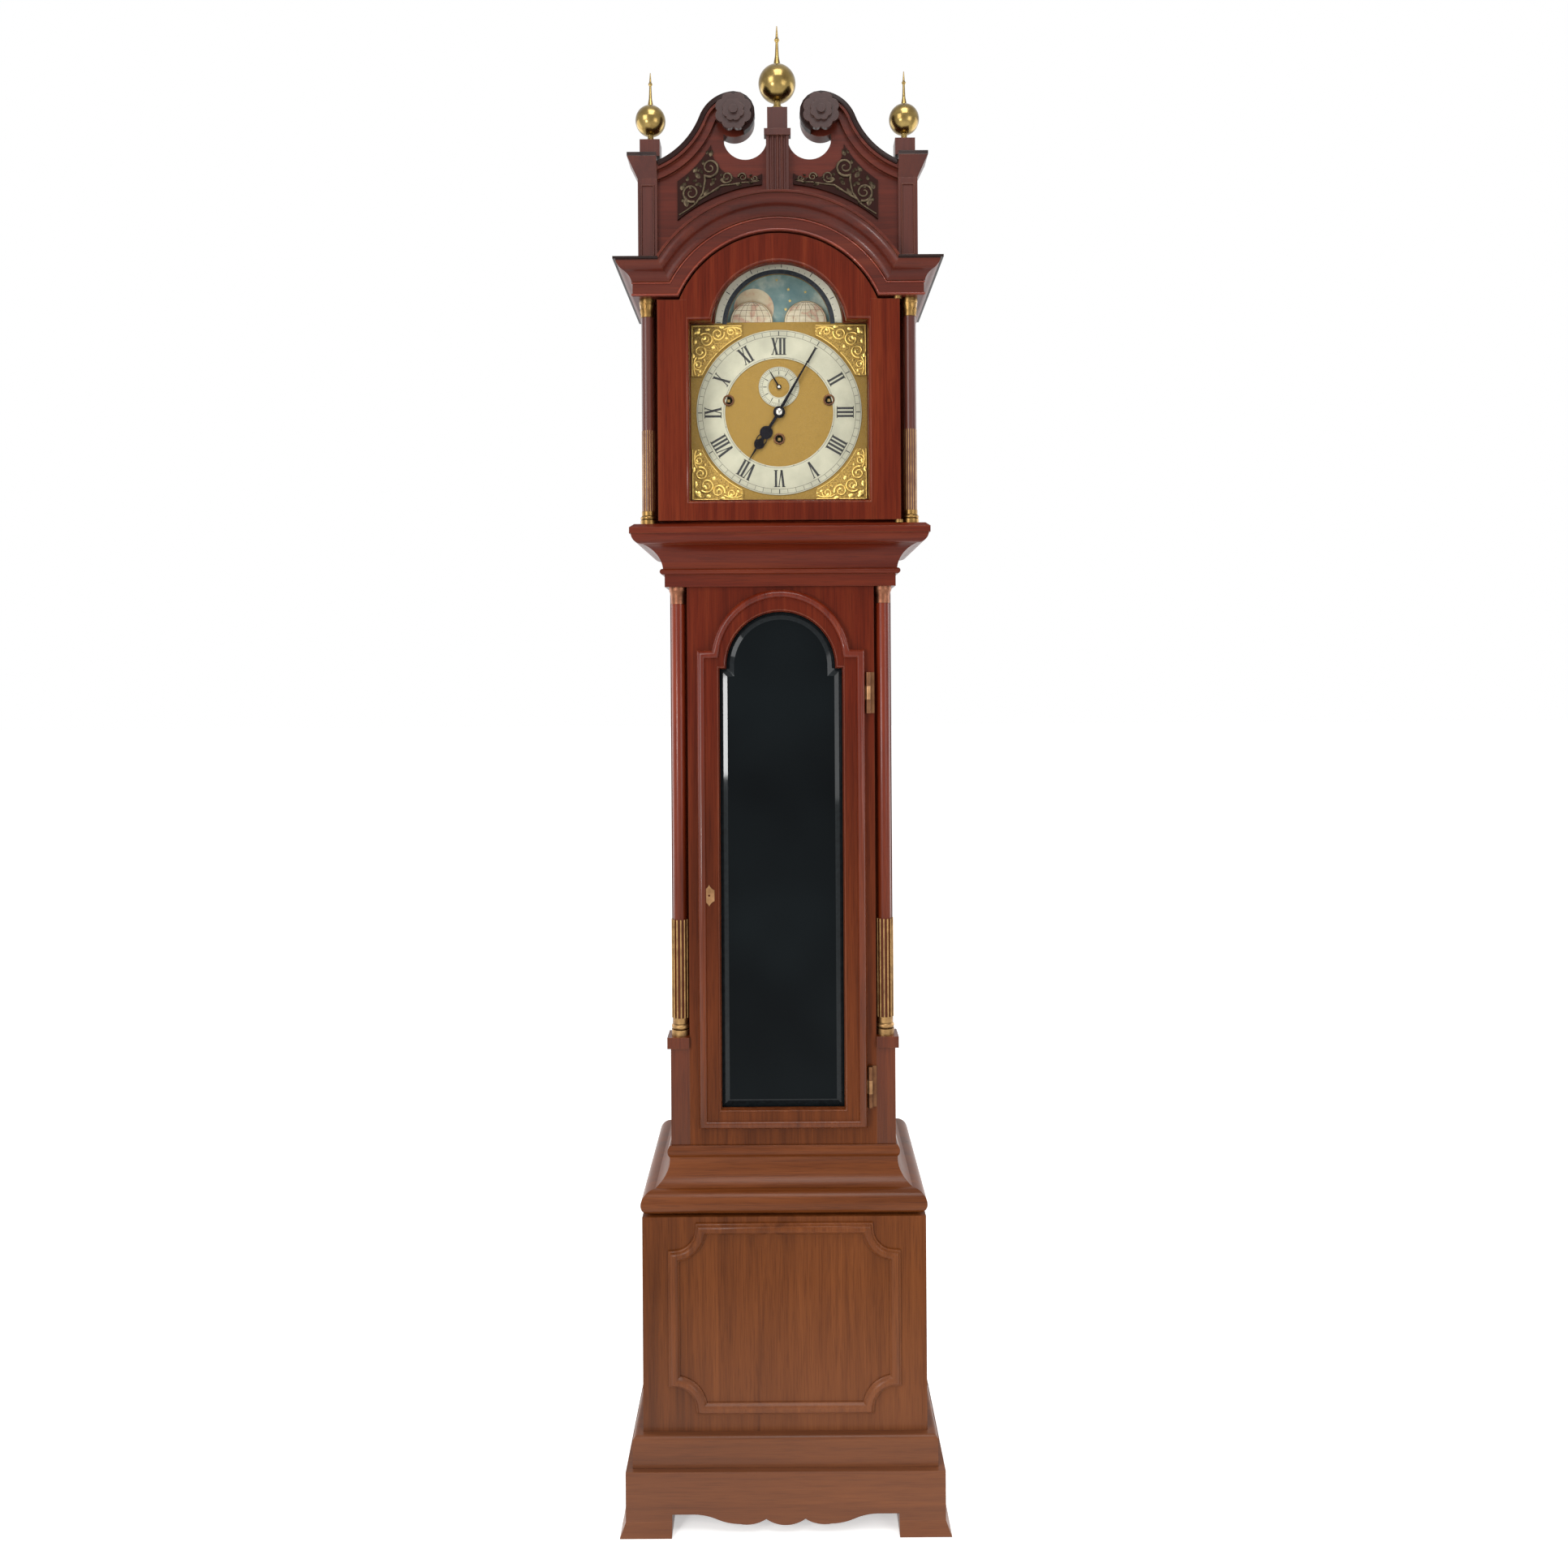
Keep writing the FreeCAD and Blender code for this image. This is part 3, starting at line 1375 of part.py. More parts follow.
# Trunk door hinges: two three-knuckle butts on the right edge.
hinge_x = d.door_half_width + d.hinge_gap
hinge_y = ahead(d.trunk_front + d.door_lip / 2)
knuckle = d.hinge_length / 3


def fixed_half(level):
    """Leaf on the case with the two outer knuckles and the pin."""
    leaf_end = hinge_x + d.hinge_radius + d.leaf_width / 2
    leaf_y = (ahead(d.trunk_front + d.leaf_thickness), ahead(d.trunk_front))
    pieces = [box("case_leaf", (hinge_x + d.hinge_radius + d.side_clearance, leaf_end), leaf_y,
                  (level, level + d.hinge_length))]
    for low in (level, level + 2 * knuckle):
        pieces.append(rod("case_knuckle", d.hinge_radius, knuckle, hinge_x, hinge_y, low))
        pieces.append(box("case_tab", (hinge_x, leaf_end), leaf_y, (low, low + knuckle)))
    pieces.append(rod("hinge_pin", d.hinge_pin_radius, d.hinge_length, hinge_x, hinge_y, level))
    return fused(*pieces)


def moving_half(level):
    """Middle knuckle and leaf on the edge of the door, bored for the pin."""
    low = level + knuckle + d.side_clearance / 2
    high = level + 2 * knuckle - d.side_clearance / 2
    barrel = rod("door_knuckle", d.hinge_radius, high - low, hinge_x, hinge_y, low)
    leaf = box("door_leaf", (d.door_half_width, hinge_x),
               (hinge_y - d.leaf_thickness / 2, hinge_y + d.leaf_thickness / 2), (low, high))
    bore = rod("door_bore", d.hinge_pin_radius + d.running_clearance, high - low, hinge_x, hinge_y, low)
    return cut(fused(barrel, leaf), bore)


node("trunk_hinge_leaves", group(fixed_half(d.hinge_low), fixed_half(d.hinge_high)))
escutcheon = new_body("escutcheon")
plate_x = -(d.glass_half_width + d.door_half_width) / 2
pad(escutcheon, "XZ_Plane", forward(d.trunk_front + d.door_lip), d.leaf_thickness / 2, [[
    (plate_x - d.plate_half_width, d.keyhole_height - d.plate_half_width),
    Arc(d.plate_half_width * 2, -1),
    (plate_x, d.keyhole_height - d.plate_half_width * 2),
    Arc(d.plate_half_width * 2, -1),
    (plate_x + d.plate_half_width, d.keyhole_height - d.plate_half_width),
    (plate_x + d.plate_half_width, d.keyhole_height + d.plate_half_width),
    Arc(d.plate_half_width * 2, -1),
    (plate_x, d.keyhole_height + d.plate_half_width * 2),
    Arc(d.plate_half_width * 2, -1),
    (plate_x - d.plate_half_width, d.keyhole_height + d.plate_half_width),
]], [(plate_x, d.keyhole_height, d.hinge_pin_radius)])
node("trunk_door_brasses", group(moving_half(d.hinge_low), moving_half(d.hinge_high), escutcheon))


# Seatboard: rests on the cheeks and carries the movement, with slots for the lines and pendulum.
seat_low = d.cheek_top
seat_top = d.cheek_top + d.board
barrel_places = {
    "going": (d.going_x, d.going_z),
    "strike": (d.strike_x, d.strike_z),
    "music": (d.music_x, d.music_z),
}
line_y = ahead(d.line_front)
line_offset = d.drum_radius + d.line_radius + d.line_clearance
seatboard = new_body("seatboard")
pad(seatboard, "XY_Plane", seat_low, d.board,
    [
        rectangle(-d.trunk_half_width, ahead(d.seat_front), d.trunk_half_width, ahead(d.seat_back)),
        rectangle(-d.pendulum_slot, ahead(d.pendulum_front + d.pendulum_slot),
                  d.pendulum_slot, ahead(d.pendulum_front - d.pendulum_slot)),
    ],
    [(place_x + side * line_offset, line_y, d.line_hole) for place_x, _ in barrel_places.values()
     for side in (-1, 1)])
node("seatboard", seatboard)

# Movement plates: brass, held apart by turned pillars, drilled for every arbor.
plate_low = seat_top
plate_high = d.dial_height + d.plate_rise
cylinder_z = d.music_z + d.cylinder_rise
slim_arbors = [(0, 0), (d.third_x, d.third_z), (0, d.escape_z), (0, d.pallet_z), (d.music_x, cylinder_z)]
arbor_holes = [(place_x, d.dial_height + place_z, d.arbor_radius + d.running_clearance)
               for place_x, place_z in slim_arbors]
arbor_holes += [(place_x, d.dial_height + place_z, d.barrel_arbor_radius + d.running_clearance)
                for place_x, place_z in barrel_places.values()]


def plate(label, front):
    body = new_body(label)
    pad(body, "XZ_Plane", forward(front), d.plate_thickness,
        [rectangle(-d.movement_half_width, plate_low, d.movement_half_width, plate_high)], arbor_holes)
    return body


pillar_length = d.front_plate_front - d.back_plate_front - d.plate_thickness
plate_pillars = []
for level in (plate_low + d.plate_margin, plate_high - d.plate_margin):
    plate_pillars += both(rod("plate_pillar", d.plate_pillar_radius, pillar_length,
                              d.movement_half_width - d.plate_margin,
                              ahead(d.back_plate_front + d.plate_thickness), level, "y"))
pendulum_y = ahead(d.pendulum_front)
pivot_z = d.dial_height + d.pallet_z
cock_low = pivot_z + d.pendulum_rod_radius
cock = box("pendulum_cock", (-2 * d.cock_height, 2 * d.cock_height),
           (ahead(d.back_plate_front), ahead(d.pendulum_front - d.cock_height)),
           (cock_low, cock_low + d.cock_height))
node("back_plate", group(plate("rear_plate", d.back_plate_front), *plate_pillars, cock))
motion_front = d.front_plate_front + d.plate_thickness + d.motion_gap
hour_wheel_front = motion_front + d.wheel_thickness + d.motion_gap
stud_start = d.front_plate_front + d.plate_thickness
stud = rod("minute_stud", d.stud_radius, hour_wheel_front - stud_start, d.minute_x, ahead(stud_start),
           d.dial_height + d.minute_z, "y")
node("front_plate", group(plate("fore_plate", d.front_plate_front), stud))

# Dial plate: square with an arch, pierced for the winding squares, the arbors and the moon.
dial_low = d.dial_height - d.dial_half_width
dial_shoulder = d.dial_height + d.dial_half_width
dial = new_body("dial_sheet")
moon_level = d.dial_arch_height + d.moon_sill
sill_end = half_chord(d.moon_opening, moon_level - d.dial_arch_height)


def hump(middle):
    """Points over one of the two humps that hide the moon by turns, drawn from right to left."""
    return [
        (middle + d.hump_radius, moon_level), Arc(d.hump_radius, 1), (middle, moon_level + d.hump_radius),
        Arc(d.hump_radius, 1), (middle - d.hump_radius, moon_level),
    ]


moon_opening = [
    (-sill_end, moon_level), Arc(d.moon_opening, -1), (0, d.dial_arch_height + d.moon_opening),
    Arc(d.moon_opening, -1), (sill_end, moon_level), *hump(d.hump_offset), *hump(-d.hump_offset),
]
winding_holes = [(place_x, d.dial_height + place_z, d.winding_hole)
                 for place_x, place_z in barrel_places.values()]
pad(dial, "XZ_Plane", forward(d.dial_front - d.dial_thickness), d.dial_thickness, [
    arch_outline(d.dial_half_width, dial_low, d.dial_arch_height + d.dial_arch_radius, d.dial_arch_radius,
                 dial_shoulder),
    moon_opening,
], [(0, d.dial_height, d.hour_pipe_radius + d.side_clearance),
    (0, d.dial_height + d.escape_z, d.arbor_radius + d.side_clearance), *winding_holes])
moon_stud_length = d.moon_gap + d.moon_thickness + d.side_clearance
pad(dial, "XZ_Plane", forward(d.dial_front - d.dial_thickness - moon_stud_length), moon_stud_length, [],
    [(0, d.dial_arch_height - d.moon_stud_drop, d.arbor_radius)])
foot_length = d.dial_front - d.dial_thickness - d.front_plate_front - d.plate_thickness
dial_feet = []
for level in (d.dial_height - d.dial_foot_offset, d.dial_height + d.dial_foot_offset):
    dial_feet += both(rod("dial_foot", d.plate_pillar_radius, foot_length, d.dial_foot_offset,
                          ahead(d.front_plate_front + d.plate_thickness), level, "y"))
node("dial_plate", group(dial, *dial_feet))


def ring(label, z, outer, inner):
    """A flat ring on the dial, centred on its middle line."""
    body = new_body(label)
    pad(body, "XZ_Plane", forward(d.dial_front), d.ring_thickness, [], [(0, z, outer), (0, z, inner)])
    return body


# Dial rings: silvered chapter ring, seconds ring and the lunar arc.
chapter = ring("chapter_ring", d.dial_height, d.chapter_outer, d.chapter_inner)
seconds = ring("seconds_ring", d.dial_height + d.escape_z, d.seconds_outer, d.seconds_inner)
lunar = new_body("lunar_ring")
lunar_end = half_chord(d.lunar_outer, dial_shoulder - d.dial_arch_height)
lunar_inner_end = half_chord(d.lunar_inner, dial_shoulder - d.dial_arch_height)
pad(lunar, "XZ_Plane", forward(d.dial_front), d.ring_thickness, [[
    (lunar_end, dial_shoulder), Arc(d.lunar_outer, 1), (0, d.dial_arch_height + d.lunar_outer),
    Arc(d.lunar_outer, 1), (-lunar_end, dial_shoulder), (-lunar_inner_end, dial_shoulder),
    Arc(d.lunar_inner, -1), (0, d.dial_arch_height + d.lunar_inner), Arc(d.lunar_inner, -1),
    (lunar_inner_end, dial_shoulder),
]])
node("dial_rings", group(chapter, seconds, lunar))

# Corner spandrels: cast gilt mounts between the chapter ring and the corners of the dial.
spandrel = new_body("spandrel")
corner = d.dial_half_width - d.spandrel_margin
spandrel_radius = d.chapter_outer + d.spandrel_margin
spandrel_side = half_chord(spandrel_radius, d.spandrel_foot)
pad(spandrel, "XZ_Plane", 0, d.spandrel_depth, [[
    (corner, d.spandrel_foot), (corner, corner), (d.spandrel_foot, corner),
    (d.spandrel_foot, spandrel_side), Arc(spandrel_radius, -1), (spandrel_side, d.spandrel_foot),
]])
place(spandrel, 0, ahead(d.dial_front), d.dial_height)
spandrels = both(spandrel)
for upper in list(spandrels):
    lower = doc.addObject("Part::Mirroring", "spandrel_lower")
    lower.Source = upper
    lower.Normal = FreeCAD.Vector(0, 0, 1)
    bind(lower, "Base.z", d.dial_height)
    spandrels.append(lower)
node("corner_spandrels", group(*spandrels))

# Moon disc: turns on a stud behind the dial and shows through the arch.
moon = new_body("moon_disc")
moon_back = d.dial_front - d.dial_thickness - d.moon_gap - d.moon_thickness
moon_z = d.dial_arch_height - d.moon_stud_drop
pad(moon, "XZ_Plane", forward(moon_back), d.moon_thickness, [],
    [(0, moon_z, d.moon_radius), (0, moon_z, d.arbor_radius + d.running_clearance)])
node("moon_disc", moon)


def toothed(label, teeth, module, front, thickness, x, z, tooth_angle):
    """A toothed wheel with one tooth pointing along tooth_angle, thinned to leave backlash."""
    pitch_radius = module.value * teeth / 2
    tip = pitch_radius + module.value * d.addendum_ratio.value
    base_radius = pitch_radius - module.value * d.dedendum_ratio.value
    points = []
    for index in range(teeth):
        middle = tooth_angle + 2 * math.pi * index / teeth
        half = math.pi / teeth * d.tooth_ratio.value
        for radius, angle in ((base_radius, middle - half), (tip, middle), (base_radius, middle + half)):
            points.append(FreeCAD.Vector(radius * math.cos(angle), 0, radius * math.sin(angle)))
    blank = Part.Face(Part.makePolygon(points + points[:1])).extrude(FreeCAD.Vector(0, -thickness.value, 0))
    wheel = doc.addObject("Part::Feature", label)
    wheel.Shape = blank
    place(wheel, x, ahead(front), d.dial_height + z)
    return wheel


def arbor(label, x, z, start, end, radius):
    """A round shaft lying between two depths."""
    return rod(label, radius, end - start, x, ahead(start), d.dial_height + z, "y")


def mesh_angle(x, z):
    return math.atan2(as_size(z).value, as_size(x).value)


def opposite(angle, teeth):
    """Direction of a tooth that leaves a gap facing a tooth at the given angle."""
    return angle + math.pi + math.pi / teeth


# Teeth of the wheels and leaves of the pinions, which give the train its ratios.
GREAT_TEETH = 96
CENTRE_LEAVES = 8
CENTRE_TEETH = 60
THIRD_LEAVES = 8
THIRD_TEETH = 56
ESCAPE_LEAVES = 7
ESCAPE_TEETH = 30
CANNON_TEETH = 30
MINUTE_TEETH = 40
MINUTE_LEAVES = 8
HOUR_TEETH = 72
STRIKE_TEETH = 60
MUSIC_TEETH = 56
CYLINDER_TEETH = 16

shaft_start = d.back_plate_front
shaft_end = d.front_plate_front + d.plate_thickness
great_front = d.back_plate_front + d.plate_thickness + d.great_gap

# Going train: great wheel, centre wheel, third wheel and escape wheel.
centre_module = -2 * d.going_z / (GREAT_TEETH + CENTRE_LEAVES)
third_distance = root(d.third_x * d.third_x + d.third_z * d.third_z)
third_module = 2 * third_distance / (CENTRE_TEETH + THIRD_LEAVES)
escape_rise = d.escape_z - d.third_z
escape_distance = root(d.third_x * d.third_x + escape_rise * escape_rise)
escape_module = 2 * escape_distance / (THIRD_TEETH + ESCAPE_LEAVES)
up = math.pi / 2
great = toothed("great_wheel", GREAT_TEETH, centre_module, great_front, d.wheel_thickness,
                d.going_x, d.going_z, up)
great_bore = arbor("great_bore", d.going_x, d.going_z, great_front, great_front + d.wheel_thickness,
                   d.barrel_arbor_radius + d.running_clearance)
node("going_great_wheel", cut(great, great_bore))
pinion_start = great_front - d.side_clearance
pinion_length = d.wheel_thickness + 2 * d.side_clearance
centre_pinion = toothed("centre_pinion", CENTRE_LEAVES, centre_module, pinion_start, pinion_length, 0, 0,
                        opposite(up, CENTRE_LEAVES))
centre_front = shaft_end - d.plate_thickness - d.centre_gap
to_third = mesh_angle(d.third_x, d.third_z)
centre_wheel = toothed("centre_wheel_blank", CENTRE_TEETH, third_module, centre_front, d.wheel_thickness,
                       0, 0, to_third)
centre_arbor = arbor("centre_arbor", 0, 0, shaft_start, d.minute_front, d.arbor_radius)
third_pinion = toothed("third_pinion", THIRD_LEAVES, third_module, centre_front - d.side_clearance,
                       pinion_length, d.third_x, d.third_z, opposite(to_third, THIRD_LEAVES))
to_escape = mesh_angle(-d.third_x, escape_rise)
third_front = great_front + d.third_gap
third_blank = toothed("third_wheel_blank", THIRD_TEETH, escape_module, third_front, d.wheel_thickness,
                      d.third_x, d.third_z, to_escape)
third_arbor = arbor("third_arbor", d.third_x, d.third_z, shaft_start, shaft_end, d.arbor_radius)
node("third_wheel", fused(third_arbor, third_pinion, third_blank))
escape_pinion = toothed("escape_pinion", ESCAPE_LEAVES, escape_module, third_front - d.side_clearance,
                        pinion_length, 0, d.escape_z, opposite(to_escape, ESCAPE_LEAVES))
escape_front = third_front + d.escape_gap
escape_blank = toothed("escape_blank", ESCAPE_TEETH, 2 * d.escape_radius / ESCAPE_TEETH, escape_front,
                       d.wheel_thickness, 0, d.escape_z, up)
escape_arbor = arbor("escape_arbor", 0, d.escape_z, shaft_start, d.seconds_front, d.arbor_radius)
node("escape_wheel", fused(escape_arbor, escape_pinion, escape_blank))

# Pallet anchor with its crutch: a half ring that straddles the escape wheel, swinging on its own arbor.
anchor = new_body("pallet_anchor_arms")
anchor_rise = d.pallet_z - d.escape_z
escape_tip = d.escape_radius * (1 + 2 * d.addendum_ratio / ESCAPE_TEETH)
pallet_reach = escape_tip + d.pallet_gap
anchor_reach = pallet_reach + d.anchor_width
pad(anchor, "XZ_Plane", 0, d.wheel_thickness, [[
    (anchor_reach, -anchor_rise), Arc(anchor_reach, 1), (0, anchor_reach - anchor_rise),
    Arc(anchor_reach, 1), (-anchor_reach, -anchor_rise), (-pallet_reach, -anchor_rise),
    Arc(pallet_reach, -1), (0, pallet_reach - anchor_rise), Arc(pallet_reach, -1),
    (pallet_reach, -anchor_rise),
]])
place(anchor, 0, ahead(escape_front), d.dial_height + d.pallet_z)
crutch_start = d.pendulum_front + d.crutch_width
anchor_arbor = arbor("anchor_arbor", 0, d.pallet_z, crutch_start, shaft_end, d.arbor_radius)
crutch_y = (ahead(crutch_start + d.crutch_width / 2), ahead(crutch_start))
crutch = box("crutch", (-d.crutch_width / 2, d.crutch_width / 2), crutch_y,
             (d.dial_height + d.crutch_low, d.dial_height + d.pallet_z))
fork_gap = d.pendulum_rod_radius + d.side_clearance
fork_y = (ahead(crutch_start + d.crutch_width / 2), ahead(d.pendulum_front - d.pendulum_rod_radius))
fork_z = (d.dial_height + d.crutch_low, d.dial_height + d.crutch_low + d.crutch_width)
fork_reach = fork_gap + d.crutch_width / 2
fork = box("crutch_fork", (fork_gap, fork_reach), fork_y, fork_z)
fork_bar = box("crutch_bar", (-fork_reach, fork_reach), crutch_y, fork_z)
node("pallet_anchor", fused(anchor, anchor_arbor, crutch, fork_bar, *both(fork)))

# Motion work: cannon wheel, minute wheel and hour wheel, with their pipes.
minute_distance = root(d.minute_x * d.minute_x + d.minute_z * d.minute_z)
cannon_module = 2 * minute_distance / (CANNON_TEETH + MINUTE_TEETH)
hour_module = 2 * minute_distance / (HOUR_TEETH + MINUTE_LEAVES)
to_minute = mesh_angle(d.minute_x, d.minute_z)
cannon_blank = toothed("cannon_blank", CANNON_TEETH, cannon_module, motion_front, d.wheel_thickness,
                       0, 0, to_minute)
cannon_pipe = arbor("cannon_pipe", 0, 0, motion_front, d.minute_front, d.cannon_radius)
cannon_bore = arbor("cannon_bore", 0, 0, motion_front, d.minute_front, d.arbor_radius)
cannon = cut(fused(cannon_blank, cannon_pipe), cannon_bore)
node("centre_wheel", group(fused(centre_arbor, centre_pinion, centre_wheel), cannon))
minute_blank = toothed("minute_blank", MINUTE_TEETH, cannon_module, motion_front, d.wheel_thickness,
                       d.minute_x, d.minute_z, opposite(to_minute, MINUTE_TEETH))
minute_pinion = toothed("minute_pinion", MINUTE_LEAVES, hour_module, hour_wheel_front - d.side_clearance,
                        pinion_length, d.minute_x, d.minute_z, opposite(to_minute, MINUTE_LEAVES))
minute_hub = arbor("minute_hub", d.minute_x, d.minute_z, motion_front, hour_wheel_front + pinion_length,
                   d.minute_hub_radius)
minute_bore = arbor("minute_bore", d.minute_x, d.minute_z, motion_front,
                    hour_wheel_front + d.side_clearance, d.stud_radius + d.running_clearance)
node("minute_wheel", cut(fused(minute_blank, minute_pinion, minute_hub), minute_bore))
hour_blank = toothed("hour_blank", HOUR_TEETH, hour_module, hour_wheel_front, d.wheel_thickness,
                     0, 0, to_minute)
hour_pipe = arbor("hour_pipe", 0, 0, hour_wheel_front, d.hour_front, d.hour_pipe_radius)
hour_bore = arbor("hour_bore", 0, 0, hour_wheel_front, d.hour_front, d.cannon_radius + d.running_clearance)
node("hour_wheel", cut(fused(hour_blank, hour_pipe), hour_bore))


# Barrels: drums that wind up the lines, each with a winding square behind its hole in the dial.
drum_start = great_front + d.wheel_thickness + d.drum_gap
drum_end = centre_front - d.drum_gap
square_start = shaft_end


def barrel(name, x, z, *wheels):
    drum = arbor(name + "_drum", x, z, drum_start, drum_end, d.drum_radius)
    spindle = arbor(name + "_spindle", x, z, shaft_start, square_start, d.barrel_arbor_radius)
    half = d.square_width / 2
    square = box(name + "_square", (x - half, x + half), (ahead(d.square_front), ahead(square_start)),
                 (d.dial_height + z - half, d.dial_height + z + half))
    return fused(drum, spindle, square, *wheels)


node("going_barrel", barrel("going", d.going_x, d.going_z))
strike_wheel = toothed("strike_wheel", STRIKE_TEETH, 2 * d.strike_wheel_radius / STRIKE_TEETH, great_front,
                       d.wheel_thickness, d.strike_x, d.strike_z, up)
node("strike_barrel", barrel("strike", d.strike_x, d.strike_z, strike_wheel))
music_module = 2 * d.cylinder_rise / (MUSIC_TEETH + CYLINDER_TEETH)
music_wheel = toothed("music_wheel", MUSIC_TEETH, music_module, great_front, d.wheel_thickness,
                      d.music_x, d.music_z, up)
node("music_barrel", barrel("music", d.music_x, d.music_z, music_wheel))

# Music cylinder: the pinned drum that trips the bell hammers.
cylinder_wheel = toothed("cylinder_wheel", CYLINDER_TEETH, music_module, great_front - d.side_clearance,
                         pinion_length, d.music_x, cylinder_z, opposite(up, CYLINDER_TEETH))
cylinder_drum = arbor("cylinder_drum", d.music_x, cylinder_z, drum_start, drum_end, d.cylinder_radius)
cylinder_arbor = arbor("cylinder_arbor", d.music_x, cylinder_z, shaft_start, shaft_end, d.arbor_radius)
node("music_cylinder", fused(cylinder_drum, cylinder_arbor, cylinder_wheel))

# Nest of bells on a rod over the back plate, and the posts for bells and hammers. Each bell's height
# and the radius of its curve are shares of its own radius.
BELL_HEIGHT_RATIO = 0.75
BELL_CURVE_RATIO = 1.1
bell_y = ahead(d.back_plate_front + d.plate_thickness / 2)
hammer_y = ahead(d.front_plate_front + d.plate_thickness / 2)
bell_z = d.dial_height + d.bell_rise
hammer_z = d.dial_height + d.hammer_rise
bell_pieces = [rod("bell_rod", d.bell_rod_radius, 2 * d.bell_post, -d.bell_post, bell_y, bell_z, "x")]
hammer_arbor_end = d.bell_post + d.post_half_width
bell_pieces += both(box("bell_post", (d.bell_post, d.bell_post + 2 * d.post_half_width),
                        (bell_y - d.plate_thickness / 2, bell_y + d.plate_thickness / 2),
                        (plate_high, bell_z + d.post_half_width)))
hammer_post = new_body("hammer_post")
pad(hammer_post, "YZ_Plane", d.bell_post, 2 * d.post_half_width,
    [rectangle(hammer_y - d.plate_thickness / 2, plate_high, hammer_y + d.plate_thickness / 2,
               hammer_z + d.post_half_width)],
    [(hammer_y, hammer_z, d.arbor_radius + d.running_clearance)])
bell_pieces += both(hammer_post)
hammer_pieces = [rod("hammer_arbor", d.arbor_radius, 2 * hammer_arbor_end, -hammer_arbor_end,
                     hammer_y, hammer_z, "x")]
for index in range(int(d.bell_count.value)):
    radius = d.bell_radius - d.bell_step * index
    height = radius * BELL_HEIGHT_RATIO
    bell_curve = radius * BELL_CURVE_RATIO
    crown_x = d.bell_pitch * (index - (d.bell_count - 1) / 2)
    bell = turned(f"bell_{index + 1}", [
        (d.bell_rod_radius, 0), Arc(bell_curve, 1), (radius, height), (radius - d.bell_wall, height),
        Arc(bell_curve, -1), (d.bell_rod_radius, d.bell_wall),
    ], crown_x + height / 2, bell_y, bell_z)
    bell.Placement.Rotation = FreeCAD.Rotation(FreeCAD.Vector(0, 1, 0), -90)
    bell_pieces.append(bell)
    rim_x = crown_x - height / 2 + d.hammer_radius
    head_start = bell_y - radius - d.hammer_gap
    head_length = head_start - hammer_y + d.hammer_radius
    hammer_pieces.append(rod(f"hammer_{index + 1}", d.hammer_radius, head_length, rim_x, head_start,
                             bell_z, "y"))
    hammer_pieces.append(box(f"hammer_stem_{index + 1}", (rim_x - d.arbor_radius, rim_x + d.arbor_radius),
                             (hammer_y - d.arbor_radius, hammer_y + d.arbor_radius), (hammer_z, bell_z)))
node("bell_nest", group(*bell_pieces))
node("hammers", fused(*hammer_pieces))

# Gut lines: from each drum down through the seatboard, round a pulley and back up to the seatboard.
pulley_radius = line_offset - d.line_radius - d.line_clearance
pulley_z = d.weight_low + d.weight_height + d.pulley_gap + line_offset
upper_falls = []
for name, (place_x, place_z) in barrel_places.items():
    falls = [rod(f"{name}_fall", d.line_radius, seat_low - pulley_z, place_x + side * line_offset,
                 line_y, pulley_z) for side in (-1, 1)]
    node(f"{name}_line", group(*falls))
    upper_falls.append(rod(f"{name}_upper_fall", d.line_radius, d.dial_height + place_z - seat_low,
                           place_x + line_offset, line_y, seat_low))
    upper_falls.append(rod(f"{name}_knot", d.line_hole - d.line_clearance, d.board, place_x - line_offset,
                           line_y, seat_low))
    shell = rod(f"{name}_shell", d.weight_radius, d.weight_height, place_x, line_y, d.weight_low)
    half_width = d.pulley_width / 2
    wheel = rod(f"{name}_pulley", pulley_radius, d.pulley_width, place_x, line_y + half_width,
                pulley_z, "y")
    hook = rod(f"{name}_hook", d.pulley_width, pulley_z - d.weight_low - d.weight_height, place_x, line_y,
               d.weight_low + d.weight_height)
    bight = doc.addObject("Part::Torus", f"{name}_bight")
    bind(bight, "Radius1", line_offset)
    bind(bight, "Radius2", d.line_radius)
    bight.Angle3 = 180
    bight.Placement.Rotation = FreeCAD.Rotation(FreeCAD.Vector(1, 0, 0), -90)
    place(bight, place_x, line_y, pulley_z)
    node(f"{name}_weight", group(fused(shell, wheel, hook), bight))
node("line_ends", group(*upper_falls))

# Pendulum: a rod with a lens-shaped bob, hung from a cock on the back plate.
bob_z = pivot_z - d.pendulum_length
rod_low = bob_z - d.pendulum_tail
rod_high = cock_low - d.cock_gap
pendulum_rod = rod("pendulum_rod", d.pendulum_rod_radius, rod_high - rod_low, 0, pendulum_y, rod_low)
lens_radius = (d.bob_radius * d.bob_radius + d.bob_thickness * d.bob_thickness / 4) / d.bob_thickness
bob = turned("pendulum_bob", [
    (0, -d.bob_thickness / 2), Arc(lens_radius, 1), (d.bob_radius, 0), Arc(lens_radius, 1),
    (0, d.bob_thickness / 2),
], 0, pendulum_y, bob_z)
bob.Placement.Rotation = FreeCAD.Rotation(FreeCAD.Vector(1, 0, 0), 90)
node("pendulum", fused(pendulum_rod, bob))


def hand(label, outline, hole, front, thickness, z, turn):
    """A hand drawn upright about its boss, then turned clockwise to the time it shows."""
    body = new_body(label)
    pad(body, "XZ_Plane", 0, thickness, [outline], [hole] if hole else [])
    body.Placement.Rotation = FreeCAD.Rotation(FreeCAD.Vector(0, 1, 0), turn)
    place(body, 0, ahead(front), z)
    return body


